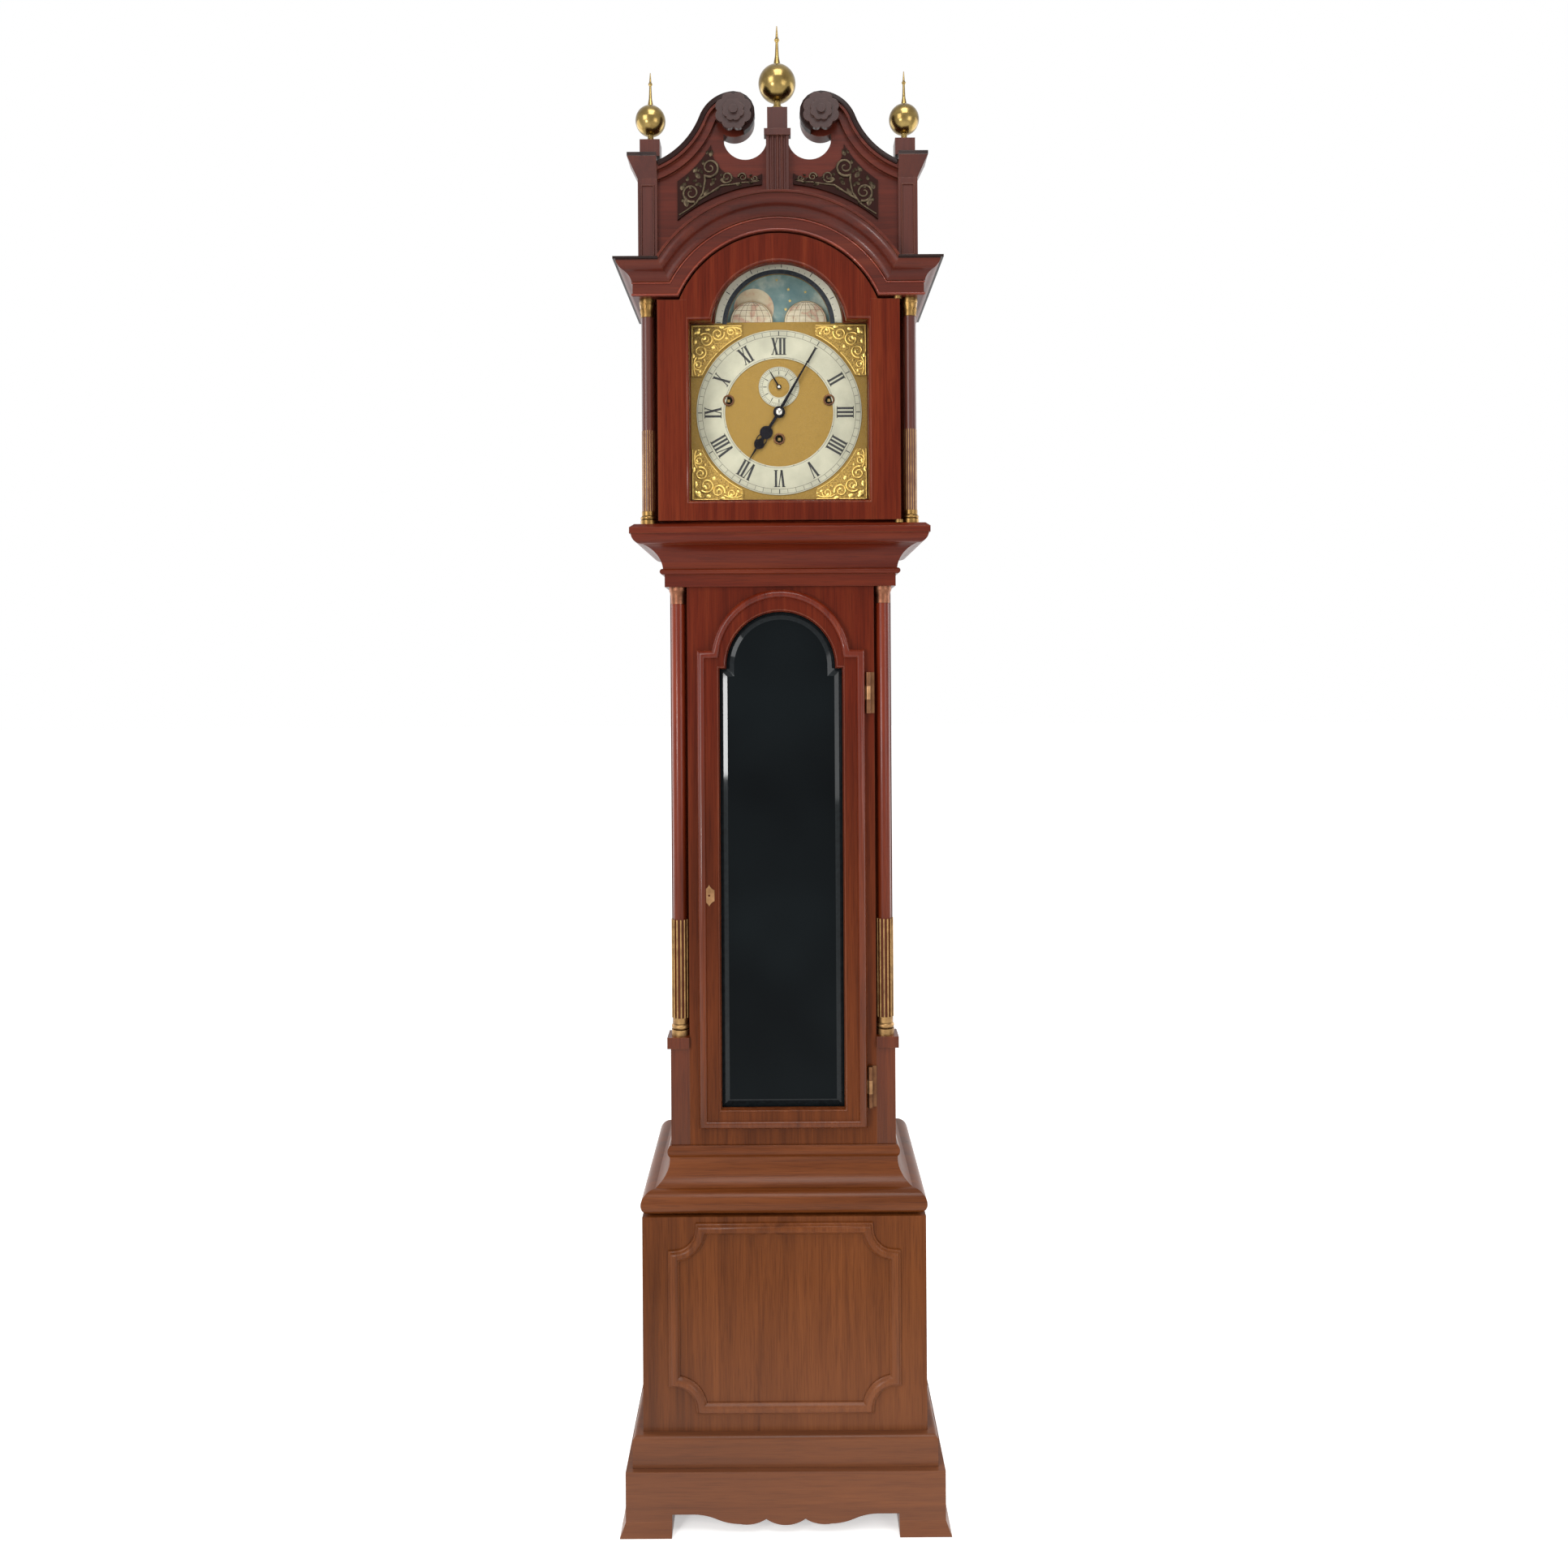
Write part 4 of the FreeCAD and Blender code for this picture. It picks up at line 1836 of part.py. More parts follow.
def round_boss(boss, stem):
    """The boss from the left of the stem, round under the arbor and up to the right of the stem."""
    level = half_chord(boss, stem)
    return [
        (-stem, level), Arc(boss, 1), (-boss, 0), Arc(boss, 1), (0, -boss), Arc(boss, 1),
        (boss, 0), Arc(boss, 1), (stem, level),
    ]


def plain_hand(boss, stem, length, tip):
    """A slender tapering hand with a round boss."""
    return round_boss(boss, stem) + [(tip, length), (-tip, length)]


# Hour hand: a stem that opens into a leaf and then a crown under its point. The places along it are
# shares of its length.
HOUR_TURN = 212.5
LEAF_START_RATIO = 0.35
LEAF_MIDDLE_RATIO = 0.45
LEAF_END_RATIO = 0.6
CROWN_MIDDLE_RATIO = 0.7
CROWN_END_RATIO = 0.85
CROWN_WIDTH_RATIO = 0.8
hour_stem = d.hour_boss / 4
hour_wide = d.hour_length / 8
right_edge = [
    (hour_stem, d.hour_length * LEAF_START_RATIO),
    Arc(hour_wide, 1),
    (hour_wide, d.hour_length * LEAF_MIDDLE_RATIO),
    Arc(hour_wide, 1),
    (hour_stem, d.hour_length * LEAF_END_RATIO),
    Arc(hour_wide, -1),
    (hour_wide * CROWN_WIDTH_RATIO, d.hour_length * CROWN_MIDDLE_RATIO),
    Arc(hour_wide, 1),
    (hour_stem / 2, d.hour_length * CROWN_END_RATIO),
]
hour_outline = round_boss(d.hour_boss, hour_stem) + right_edge
hour_outline += [(0, d.hour_length), *other_way(right_edge)]
node("hour_hand", hand("hour_hand", hour_outline, (0, 0, d.cannon_radius + d.side_clearance), d.hour_front,
                       d.hand_thickness, d.dial_height, HOUR_TURN))

# Minute and seconds hands: slender tapering blades.
MINUTE_TURN = 30
SECONDS_TURN = 330
minute_outline = plain_hand(d.minute_boss, d.minute_boss / 3, d.minute_length, d.minute_boss / 10)
node("minute_hand", hand("minute_hand", minute_outline, None, d.minute_front, d.hand_thickness,
                         d.dial_height, MINUTE_TURN))
seconds_outline = plain_hand(d.seconds_boss, d.seconds_boss / 3, d.seconds_length, d.seconds_boss / 6)
node("seconds_hand", hand("seconds_hand", seconds_outline, None, d.seconds_front, d.seconds_thickness,
                          d.dial_height + d.escape_z, SECONDS_TURN))


doc.recompute()
broken = [item.Label for item in doc.Objects if "Invalid" in item.State or "Error" in item.State]
if broken:
    raise RuntimeError("These objects failed: " + ", ".join(broken))
for piece in nodes:
    if piece.Shape.isNull() or not piece.Shape.isValid():
        raise RuntimeError("This sub-part has no valid shape: " + piece.Label)

os.makedirs("parts", exist_ok=True)
for piece in nodes:
    piece.Shape.exportStep(f"parts/{piece.Label}.step")
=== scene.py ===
import bmesh
import bpy
import math
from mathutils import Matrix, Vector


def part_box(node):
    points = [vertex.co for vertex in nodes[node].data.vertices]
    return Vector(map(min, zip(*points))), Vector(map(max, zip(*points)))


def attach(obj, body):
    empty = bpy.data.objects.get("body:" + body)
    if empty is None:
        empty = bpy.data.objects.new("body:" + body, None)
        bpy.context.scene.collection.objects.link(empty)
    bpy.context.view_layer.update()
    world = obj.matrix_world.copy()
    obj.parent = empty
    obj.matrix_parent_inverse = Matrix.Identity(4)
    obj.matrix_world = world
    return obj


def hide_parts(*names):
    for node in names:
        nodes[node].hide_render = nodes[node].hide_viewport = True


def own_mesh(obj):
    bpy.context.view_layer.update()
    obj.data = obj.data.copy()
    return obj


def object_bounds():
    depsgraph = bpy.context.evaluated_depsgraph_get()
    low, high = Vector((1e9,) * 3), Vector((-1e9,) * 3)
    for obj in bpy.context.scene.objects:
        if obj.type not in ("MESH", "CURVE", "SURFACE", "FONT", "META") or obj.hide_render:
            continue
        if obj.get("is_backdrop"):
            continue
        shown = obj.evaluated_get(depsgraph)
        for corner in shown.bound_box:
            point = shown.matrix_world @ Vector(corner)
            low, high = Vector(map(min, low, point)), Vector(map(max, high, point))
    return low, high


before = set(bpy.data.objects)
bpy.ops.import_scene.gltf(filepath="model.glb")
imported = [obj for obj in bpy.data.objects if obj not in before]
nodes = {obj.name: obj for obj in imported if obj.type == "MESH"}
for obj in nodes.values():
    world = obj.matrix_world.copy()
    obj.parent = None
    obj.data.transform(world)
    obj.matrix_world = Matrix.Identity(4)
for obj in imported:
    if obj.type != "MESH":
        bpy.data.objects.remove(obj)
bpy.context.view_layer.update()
mm = 0.001


# Base of the case: bracket plinth, step, box and applied panel moulding.
# Solid mahogany gone brown with age, French polished, glued and pinned at the corners.
class Finish:
    """A node material built up from a principled shader."""

    def __init__(self, name):
        self.material = bpy.data.materials.new(name)
        self.material.use_nodes = True
        self.tree = self.material.node_tree
        self.shader = self.tree.nodes["Principled BSDF"]

    def add(self, kind, settings=None, **inputs):
        """A new node; an input is named with underscores for spaces, or i0, i1 and so on for its place."""
        made = self.tree.nodes.new(kind)
        for name, value in (settings or {}).items():
            setattr(made, name, value)
        for name, value in inputs.items():
            self.feed(made, name.replace("_", " "), value)
        return made

    def feed(self, to, name, value):
        """Links a socket to an input, or sets the input to a value."""
        socket = to.inputs[int(name[1:])] if name[0] == "i" and name[1:].isdigit() else to.inputs[name]
        if isinstance(value, bpy.types.NodeSocket):
            self.tree.links.new(value, socket)
        else:
            socket.default_value = value

    def set(self, **inputs):
        """Feeds the shader itself."""
        for name, value in inputs.items():
            self.feed(self.shader, name.replace("_", " "), value)

    def place(self, stretch=(1, 1, 1)):
        """Object coordinates, squeezed along each axis."""
        coords = self.add("ShaderNodeTexCoord").outputs["Object"]
        return self.add("ShaderNodeMapping", Vector=coords, Scale=stretch).outputs["Vector"]

    def spot(self):
        """Object coordinates, one by one."""
        return self.add("ShaderNodeSeparateXYZ", Vector=self.place()).outputs

    def noise(self, scale, detail=3.0, stretch=(1, 1, 1), twist=0.0, rough=0.55):
        """Soft clouds from 0 to 1."""
        made = self.add("ShaderNodeTexNoise", Vector=self.place(stretch), Scale=scale, Detail=detail,
                        Distortion=twist, Roughness=rough)
        return made.outputs["Fac"]

    def ramp(self, fac, *stops):
        """Colour stops as (place, (r, g, b))."""
        made = self.add("ShaderNodeValToRGB", Fac=fac)
        band = made.color_ramp
        while len(band.elements) < len(stops):
            band.elements.new(0.5)
        for element, (at, colour) in zip(band.elements, stops):
            element.position = at
            element.color = (*colour, 1)
        return made.outputs["Color"]

    def span(self, fac, low, high, start=0.0, end=1.0):
        """A value that goes from low to high while fac goes from start to end."""
        made = self.add("ShaderNodeMapRange", Value=fac, From_Min=start, From_Max=end,
                        To_Min=low, To_Max=high)
        return made.outputs["Result"]

    def maths(self, operation, first, second):
        """One sum on two values."""
        return self.add("ShaderNodeMath", {"operation": operation}, i0=first, i1=second).outputs["Value"]

    def mix(self, fac, first, second, blend="MIX"):
        """Two colours laid over each other."""
        made = self.add("ShaderNodeMix", {"data_type": "RGBA", "blend_type": blend})
        self.feed(made, "i0", fac)
        self.feed(made, "i6", first)
        self.feed(made, "i7", second)
        return made.outputs[2]

    def eased(self, radius):
        """The surface normal with sharp edges rounded over a small radius."""
        return self.add("ShaderNodeBevel", {"samples": 4}, Radius=radius).outputs["Normal"]

    def rubbed(self, eased):
        """How near a point is to an edge, from 0 on the flat to 1 on the arris."""
        flat = self.add("ShaderNodeNewGeometry").outputs["Normal"]
        alike = self.add("ShaderNodeVectorMath", {"operation": "DOT_PRODUCT"}, i0=eased, i1=flat)
        return self.span(alike.outputs["Value"], 1.0, 0.0, 0.8, 0.995)

    def relief(self, height, strength, depth, normal=None):
        """Bump from a height, over the given normal."""
        made = self.add("ShaderNodeBump", Height=height, Strength=strength, Distance=depth)
        if normal:
            self.feed(made, "Normal", normal)
        self.feed(self.shader, "Normal", made.outputs["Normal"])


RED = ((0.32, (0.038, 0.0040, 0.0013)), (0.5, (0.086, 0.0100, 0.0031)), (0.68, (0.136, 0.0215, 0.0060)))
BROWN = ((0.32, (0.056, 0.0142, 0.0032)), (0.5, (0.114, 0.0315, 0.0070)), (0.68, (0.168, 0.050, 0.0125)))
NEAR_BLACK_BAND = ((0.3, (0.008, 0.003, 0.003)), (0.7, (0.020, 0.009, 0.007)))
PORE_STREAK = ((0.36, (0.42, 0.36, 0.34)), (0.5, (1, 1, 1)))
PALE_NEAR_FLOOR = (0.19, 0.095, 0.065)
GREY_BLOOM = (0.062, 0.030, 0.026)
BARE_WOOD = (0.30, 0.115, 0.045)
GRAIN = {"z": (1, 1, 0.055), "x": (0.055, 1, 1)}


def shaded(colour, shade):
    """A colour made lighter or darker by a factor."""
    return tuple(part * shade for part in colour)


def mahogany(name, grain="z", gloss=0.3, shade=1.0, bloom=0.0, coat=0.05, shine=0.07, low_shade=None,
             black_band=None):
    """Polished wood, redder above and browner below, its figure and pores drawn out along the grain.

    The polish is rubbed thin on the arrises, where the wood shows lighter, and the wood is paler and greyer
    towards the floor; bloom greys it, and low_shade sets the lower wood apart. A thin band darkened to near
    black is given by its lower and upper heights and its least distance from the middle of the clock.
    """
    def drawn(share):
        """The squeeze along the grain, drawn out more or less."""
        return tuple(part * (share if part < 1 else 1) for part in GRAIN[grain])

    wood = Finish(name)
    figure = wood.noise(58, 6, drawn(0.6), 0.7, 0.62)
    pores = wood.noise(760, 2, drawn(0.5))
    patches = wood.noise(3.4, 3, drawn(6))
    tone = wood.maths("ADD", wood.maths("MULTIPLY", figure, 0.5), wood.maths("MULTIPLY", patches, 0.5))
    spot = wood.spot()
    height = spot["Z"]
    red = wood.ramp(tone, *[(at, shaded(colour, shade)) for at, colour in RED])
    brown = wood.ramp(tone, *[(at, shaded(colour, low_shade or shade)) for at, colour in BROWN])
    colour = wood.mix(wood.span(height, 1.0, 0.0, 0.45, 1.35), red, brown)
    colour = wood.mix(0.4, colour, wood.ramp(pores, *PORE_STREAK), "MULTIPLY")
    colour = wood.mix(wood.span(height, 0.3, 0.0, 0.02, 0.4), colour, (*shaded(PALE_NEAR_FLOOR, shade), 1))
    colour = wood.mix(bloom, colour, (*shaded(GREY_BLOOM, shade), 1))
    normal = wood.eased(1.5 * mm)
    wear = wood.maths("MULTIPLY", wood.rubbed(normal), wood.span(figure, 0.05, 0.42, 0.35, 0.65))
    colour = wood.mix(wear, colour, (*shaded(BARE_WOOD, shade), 1))
    if black_band:
        low, high, aside = black_band
        band = wood.maths("GREATER_THAN", height, low)
        band = wood.maths("MULTIPLY", band, wood.maths("LESS_THAN", height, high))
        distance = wood.maths("ABSOLUTE", spot["X"], 0)
        band = wood.maths("MULTIPLY", band, wood.maths("GREATER_THAN", distance, aside))
        colour = wood.mix(band, colour, wood.ramp(figure, *NEAR_BLACK_BAND))
    wood.set(Base_Color=colour, Roughness=wood.span(figure, gloss - 0.08, gloss + 0.1),
             Specular_IOR_Level=shine, Coat_Weight=coat, Coat_Roughness=0.12)
    wood.relief(pores, 0.1, 0.3 * mm, normal)
    return wood.material


def dress(material, *names):
    """Gives solid pieces their finish."""
    for name in names:
        nodes[name].data.materials.clear()
        nodes[name].data.materials.append(material)


upright = mahogany("mahogany_upright")
rail = mahogany("mahogany_rail", "x", shine=0.14)
dress(upright, "base_boards")
dress(rail, "bracket_plinth", "plinth_moulding")


# Panel moulding on the front of the base, scooped at its corners.
# Run in lengths with a quirk and a round, mitred, glued and bradded to the board.
def ahead(depth):
    """Place along Y of a depth measured forward from the flat back of the clock, in mm."""
    return 184.5 - depth


def outward(start, end):
    """Unit normal on the right-hand side of a step from start to end."""
    across, up = end[0] - start[0], end[1] - start[1]
    length = math.hypot(across, up)
    return up / length, -across / length


def skin(count, size, closed=False, tube=True):
    """Faces over a row of rings of points, with caps on the ends unless the row is closed."""
    faces = [] if closed else [tuple(range(size)), tuple(range((count - 1) * size, count * size))]
    for i in range(count if closed else count - 1):
        here, there = i * size, (i + 1) % count * size
        for j in range(size if tube else size - 1):
            k = (j + 1) % size
            faces.append((here + j, here + k, there + k, there + j))
    return faces


def run(path, profile, tube=True, closed=True):
    """A section of (outward, depth) points carried along a path of (x, z) points, mitred at each."""
    count = len(path)
    points = []
    for i, (x, z) in enumerate(path):
        before, after = (i - 1, (i + 1) % count) if closed else (max(i - 1, 0), min(i + 1, count - 1))
        first = outward(path[before], path[i] if before != i else path[after])
        second = outward(path[i] if after != i else path[before], path[after])
        share = 1 + first[0] * second[0] + first[1] * second[1]
        across, up = (first[0] + second[0]) / share, (first[1] + second[1]) / share
        points += [(x + across * out, ahead(depth), z + up * out) for out, depth in profile]
    return points, skin(count, len(profile), closed, tube)


def piece(name, body, material, shape, crease=40):
    """A mesh of points in mm, smooth between its arrises, carried by one body."""
    points, faces = shape
    work = bmesh.new()
    spots = [work.verts.new(Vector(point) * mm) for point in points]
    for face in faces:
        work.faces.new([spots[i] for i in face])
    bmesh.ops.recalc_face_normals(work, faces=work.faces)
    mesh = bpy.data.meshes.new(name)
    work.to_mesh(mesh)
    work.free()
    mesh.polygons.foreach_set("use_smooth", [True] * len(mesh.polygons))
    mesh.set_sharp_from_angle(angle=math.radians(crease))
    mesh.materials.append(material)
    made = bpy.data.objects.new(name, mesh)
    bpy.context.collection.objects.link(made)
    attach(made, body)
    return made


def scooped(half, low, high, scoop, steps=10):
    """Points round a rectangle whose corners are scooped out, anticlockwise from the lower left."""
    path = []
    for x, z, first in ((-half, low, 90), (half, low, 180), (half, high, 270), (-half, high, 360)):
        for i in range(steps + 1):
            turn = math.radians(first - 90 * i / steps)
            path.append((x + scoop * math.cos(turn), z + scoop * math.sin(turn)))
    return path


panel_wood = mahogany("mahogany_panel", gloss=0.32, shade=1.1, coat=0.04, shine=0.12)
panel_path = scooped(half=183, low=191.5, high=488.5, scoop=45)
panel_section = [(9.5, 329.8), (9.5, 332.5), (8.2, 334), (6.8, 334.2), (6.2, 336), (3.5, 338.6), (0, 339.3),
                 (-3.5, 338.4), (-6.5, 335.6), (-8, 333.2), (-9.5, 332.2), (-9.5, 329.8)]
panel_moulding = piece("panel_moulding", "case", panel_wood,
                       run(panel_path, panel_section), 50)
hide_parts("base_panel_moulding")

# Trunk: sides, front frame, quarter columns and the mouldings above and below.
# Redder mahogany with straight grain; the mouldings are run along the grain and mitred.
dress(upright, "trunk_sides", "trunk_front_frame")
# The quarter columns' mahogany is made lighter than the rest, a painted highlight on their rounds; it is
# darker low down on the blocks.
column_wood_highlit = mahogany("mahogany_column_highlit", gloss=0.26, shade=1.5, coat=0.12, shine=0.16, low_shade=0.6)
dress(column_wood_highlit, "quarter_columns")
dress(rail, "base_cove_moulding", "throat_moulding")

# Backboard and seatboard behind and under the movement.
# Plain oak, sawn and left unpolished, nailed into the rebates of the sides.
oak = Finish("inner_oak")
oak_figure = oak.noise(90, 6, GRAIN["z"], 0.4)
oak_pores = oak.noise(700, 2, GRAIN["z"])
oak.set(Base_Color=oak.ramp(oak_figure, (0.3, (0.075, 0.036, 0.015)), (0.7, (0.19, 0.105, 0.048))),
        Roughness=oak.span(oak_pores, 0.55, 0.75), Specular_IOR_Level=0.25)
oak.relief(oak_pores, 0.25, 0.4 * mm)
dress(oak.material, "backboard", "seatboard")


# Column brasses: cast bases and capitals with brass reeds let into the flutes.
# Turned brass, lacquered long ago and now dull in the hollows; the capitals have gone coppery.
def brass(name, bright, dull, rough=0.24, wear_scale=60, ease=0.4 * mm, metallic=1.0, red_above=None):
    """Metal with slow clouds of tarnish, fine polishing marks and brighter arrises.

    It is coppery above a height, where one is given.
    """
    metal = Finish(name)
    clouds = metal.noise(wear_scale, 5)
    marks = metal.noise(900, 2, (1, 1, 0.2))
    normal = metal.eased(ease)
    colour = metal.ramp(clouds, (0.3, dull), (0.62, bright))
    if red_above:
        coppery = metal.ramp(clouds, (0.3, (0.11, 0.042, 0.024)), (0.62, (0.21, 0.088, 0.050)))
        colour = metal.mix(metal.maths("GREATER_THAN", metal.spot()["Z"], red_above), colour, coppery)
    edge = metal.maths("MULTIPLY", metal.rubbed(normal), 0.5)
    metal.set(Base_Color=metal.mix(edge, colour, (*bright, 1)), Metallic=metallic,
              Roughness=metal.span(clouds, rough + 0.12, rough))
    metal.relief(marks, 0.06, 0.2 * mm, normal)
    return metal.material


BROWN_BRASS = (0.34, 0.205, 0.082), (0.19, 0.105, 0.046), 0.38
dress(brass("column_brass", *BROWN_BRASS, red_above=1.4), "column_brasses")


# Trunk door: a lipped frame with a broad rounded moulding, hung on two butts at the right.
# Mahogany; the moulding is glued round the lip and mitred at the corners.
def arched(half, low, shoulder, high, radius, steps=30):
    """Points round an arched opening, anticlockwise from the lower left."""
    centre = high - radius
    start = math.asin((shoulder - centre) / radius)
    turns = [start + (math.pi - 2 * start) * i / steps for i in range(steps + 1)]
    arch = [(radius * math.cos(turn), centre + radius * math.sin(turn)) for turn in turns]
    return [(-half, low), (half, low), (half, shoulder)] + arch + [(-half, shoulder)]


dress(upright, "trunk_door_frame")
moulded = mahogany("mahogany_moulded", gloss=0.24, shade=1.3, coat=0.16, shine=0.15, low_shade=1.05)
lip_path = arched(half=142, low=639, shoulder=1446, high=1548, radius=118)
lip_section = [(-0.2, 290.5), (-0.2, 291.5), (-0.8, 295), (-2.2, 298.4), (-4.6, 301.2), (-7.6, 302.6),
               (-10.8, 302.2), (-13.2, 300.2), (-14.4, 297.6), (-15, 296.2), (-14, 294), (-5, 294),
               (-5, 290.5)]
piece("door_lip_moulding", "trunk_door", moulded, run(lip_path, lip_section), 50)
sight_path = arched(half=103.5, low=673, shoulder=1414, high=1510, radius=92)
quirk_section = [(4.2, 296), (4.2, 297.2), (3.4, 297.9), (2.0, 297.2), (0.6, 293.5), (0.2, 290), (2, 288),
                 (4.2, 292)]
piece("door_sight_bead", "trunk_door", moulded, run(sight_path, quirk_section))

# Butts of the trunk door and the escutcheon round its keyhole.
# Cast brass, the fixed leaves gone brown, let in flush and screwed.
leaf_brass = brass("leaf_brass", (0.15, 0.070, 0.034), (0.085, 0.036, 0.019), 0.42)
dress(leaf_brass, "trunk_hinge_leaves")
rose_brass = brass("rose_brass", (0.31, 0.170, 0.082), (0.18, 0.094, 0.043), 0.3)
dress(rose_brass, "trunk_door_brasses")

# Pane of the trunk door, held in the rebate by the sight bead.
# Old plate glass, its border ground to a broad bevel; pane and bevel are opaque and painted near black, a
# painted shade for the dark inside of the case.
pane_painted_shade = Finish("pane_painted_shade")
depths = pane_painted_shade.noise(3.5, 2)
# Painted shade: the pane's colour is near black for the shaded inside of the case.
dark = pane_painted_shade.ramp(depths, (0.3, (0.0025, 0.003, 0.0035)), (0.7, (0.006, 0.008, 0.009)))
pane_painted_shade.set(Base_Color=dark, Roughness=pane_painted_shade.span(pane_painted_shade.noise(30, 3), 0.02, 0.07), IOR=1.1)
pane_section = [(3, 280.2), (3, 281.5), (-1, 282.2), (-13, 285)]
pane_points, pane_faces = run(sight_path, pane_section, tube=False)
for ring in (0, len(pane_section) - 1):
    pane_faces.append(tuple(i * len(pane_section) + ring for i in range(len(sight_path))))
bevelled_pane = piece("bevelled_pane", "trunk_door", pane_painted_shade.material,
                      (pane_points, pane_faces), 3)
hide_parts("trunk_door_glass")
# Painted shade: the bevel is near black too, for the shaded inside of the case.
ground = Finish("ground_bevel")
haze = ground.noise(120, 3)
ground.set(Base_Color=ground.ramp(haze, (0.3, (0.004, 0.0055, 0.0065)), (0.7, (0.008, 0.011, 0.0125))),
           Roughness=ground.span(haze, 0.03, 0.06), IOR=1.28)
bevel_section = [(-1, 281.9), (-1, 282.4), (-12.9, 285.2), (-12.9, 284.7)]
piece("glass_bevel", "trunk_door", ground.material, run(sight_path, bevel_section), 3)

# Movement: plates, wheels, barrels, bells and hammers, seen when the hood is drawn off.
# Cast and planished brass with steel arbors, pinned together between two plates.
movement_brass = brass("movement_brass", (0.42, 0.29, 0.108), (0.27, 0.18, 0.062), 0.26)
dress(movement_brass, "back_plate", "front_plate", "centre_wheel", "hour_wheel", "minute_wheel",
      "going_great_wheel", "third_wheel", "escape_wheel", "going_barrel", "strike_barrel", "music_barrel",
      "music_cylinder")
steel = brass("bright_steel", (0.36, 0.37, 0.385), (0.22, 0.22, 0.23), 0.3)
dress(steel, "pallet_anchor", "hammers")
bell_metal = brass("bell_metal", (0.42, 0.335, 0.168), (0.28, 0.205, 0.092), 0.28)
dress(bell_metal, "bell_nest")

# Weights and pendulum in the trunk.
# Brass-cased lead weights hang on pulleys; the pendulum has a brass-faced bob.
old_brass = brass("old_brass", (0.30, 0.188, 0.064), (0.165, 0.094, 0.034), 0.32)
dress(old_brass, "pendulum", "going_weight", "strike_weight", "music_weight")

# Gut lines from the barrels down to the weights.
# Twisted gut, two falls to each weight, drawn up onto the barrel as it is wound.
gut = Finish("gut")
twist = gut.noise(900, 2, (1, 1, 0.4))
gut.set(Base_Color=gut.ramp(twist, (0.3, (0.20, 0.12, 0.05)), (0.7, (0.42, 0.29, 0.14))),
        Roughness=gut.span(twist, 0.5, 0.65))
gut.relief(twist, 0.4, 0.4 * mm)
dress(gut.material, "line_ends")


def joined(*shapes):
    """Several shapes as one."""
    points, faces = [], []
    for some, links in shapes:
        faces += [tuple(len(points) + i for i in link) for link in links]
        points += some
    return points, faces


def cord(x, y, low, high, radius, strands=3, lay=14, rings=280):
    """A laid cord hanging straight down: a lobed section that turns once in each length of lay."""
    around = strands * 4
    points = []
    for ring in range(rings + 1):
        z = low + (high - low) * ring / rings
        for i in range(around):
            angle = math.tau * i / around
            reach = radius * (0.9 + 0.1 * math.cos(strands * angle))
            turn = angle + math.tau * z / lay
            points.append((x + reach * math.cos(turn), y + reach * math.sin(turn), z))
    return points, skin(rings + 1, around)


for train in ("going", "strike", "music"):
    low, high = (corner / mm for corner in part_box(f"{train}_line"))
    thick = (high.y - low.y) / 2
    falls = [cord(x, low.y + thick, low.z, high.z, thick) for x in (low.x + thick, high.x - thick)]
    line = piece(f"{train}_gut", "case", gut.material, joined(*falls), 80)
    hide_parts(f"{train}_line")
    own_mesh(line)

# Dial plate with matted centre and arch.
# Cast brass, gilt and matted with a punch, carried on four feet pinned to the front plate.
matted = brass("matted_gilt", (0.32, 0.197, 0.043), (0.22, 0.132, 0.026), 0.5, 700, metallic=0.7)
dress(matted, "dial_plate")

# Chapter, seconds and lunar rings with their numerals and marks.
# Silvered brass riveted to the plate, painted whiter under the arch: a painted light where the hood's arch
# shades the lunar ring.
# The marks are cut in and filled with black wax.
silvered = Finish("silvered_brass")
tarnish = silvered.noise(25, 5)
painted_light_under_arch = silvered.span(silvered.spot()["Z"], 0.0, 0.85, 2.0, 2.01)
yellowed = silvered.ramp(tarnish, (0.3, (0.385, 0.375, 0.28)), (0.62, (0.50, 0.485, 0.36)))
silvered.set(Base_Color=silvered.mix(painted_light_under_arch, yellowed, (0.86, 0.84, 0.68, 1)), Metallic=0.4,
             Roughness=silvered.span(tarnish, 0.57, 0.45))
silvered.relief(silvered.noise(900, 2, (1, 1, 0.2)), 0.06, 0.2 * mm, silvered.eased(0.4 * mm))
dress(silvered.material, "dial_rings")
wax = Finish("black_wax")
wax_cloud = wax.noise(300, 3)
wax.set(Base_Color=wax.ramp(wax_cloud, (0.3, (0.006, 0.006, 0.007)), (0.7, (0.022, 0.020, 0.020))),
        Roughness=wax.span(wax_cloud, 0.4, 0.6))
DIAL_Z = 1850
SECONDS_Z = 1893.4
ARCH_Z = 1998
WAX_BACK = 273.2
WAX_FRONT = 273.62


def prism(outline, back, front):
    """A flat shape of (x, z) points between two depths."""
    points = [(x, ahead(depth), z) for depth in (back, front) for x, z in outline]
    return points, skin(2, len(outline))


def dial_spot(middle, radius, turn, side=0.0):
    """Point at a radius and an angle clockwise from twelve; side is a step along the clockwise tangent."""
    return (radius * math.sin(turn) + side * math.cos(turn),
            middle + radius * math.cos(turn) - side * math.sin(turn))


def mark(middle, inner, outer, turn, width):
    """A straight radial cut filled with wax."""
    half = width / 2
    corners = [(inner, -half), (inner, half), (outer, half), (outer, -half)]
    outline = [dial_spot(middle, radius, turn, side) for radius, side in corners]
    return prism(outline, WAX_BACK, WAX_FRONT)


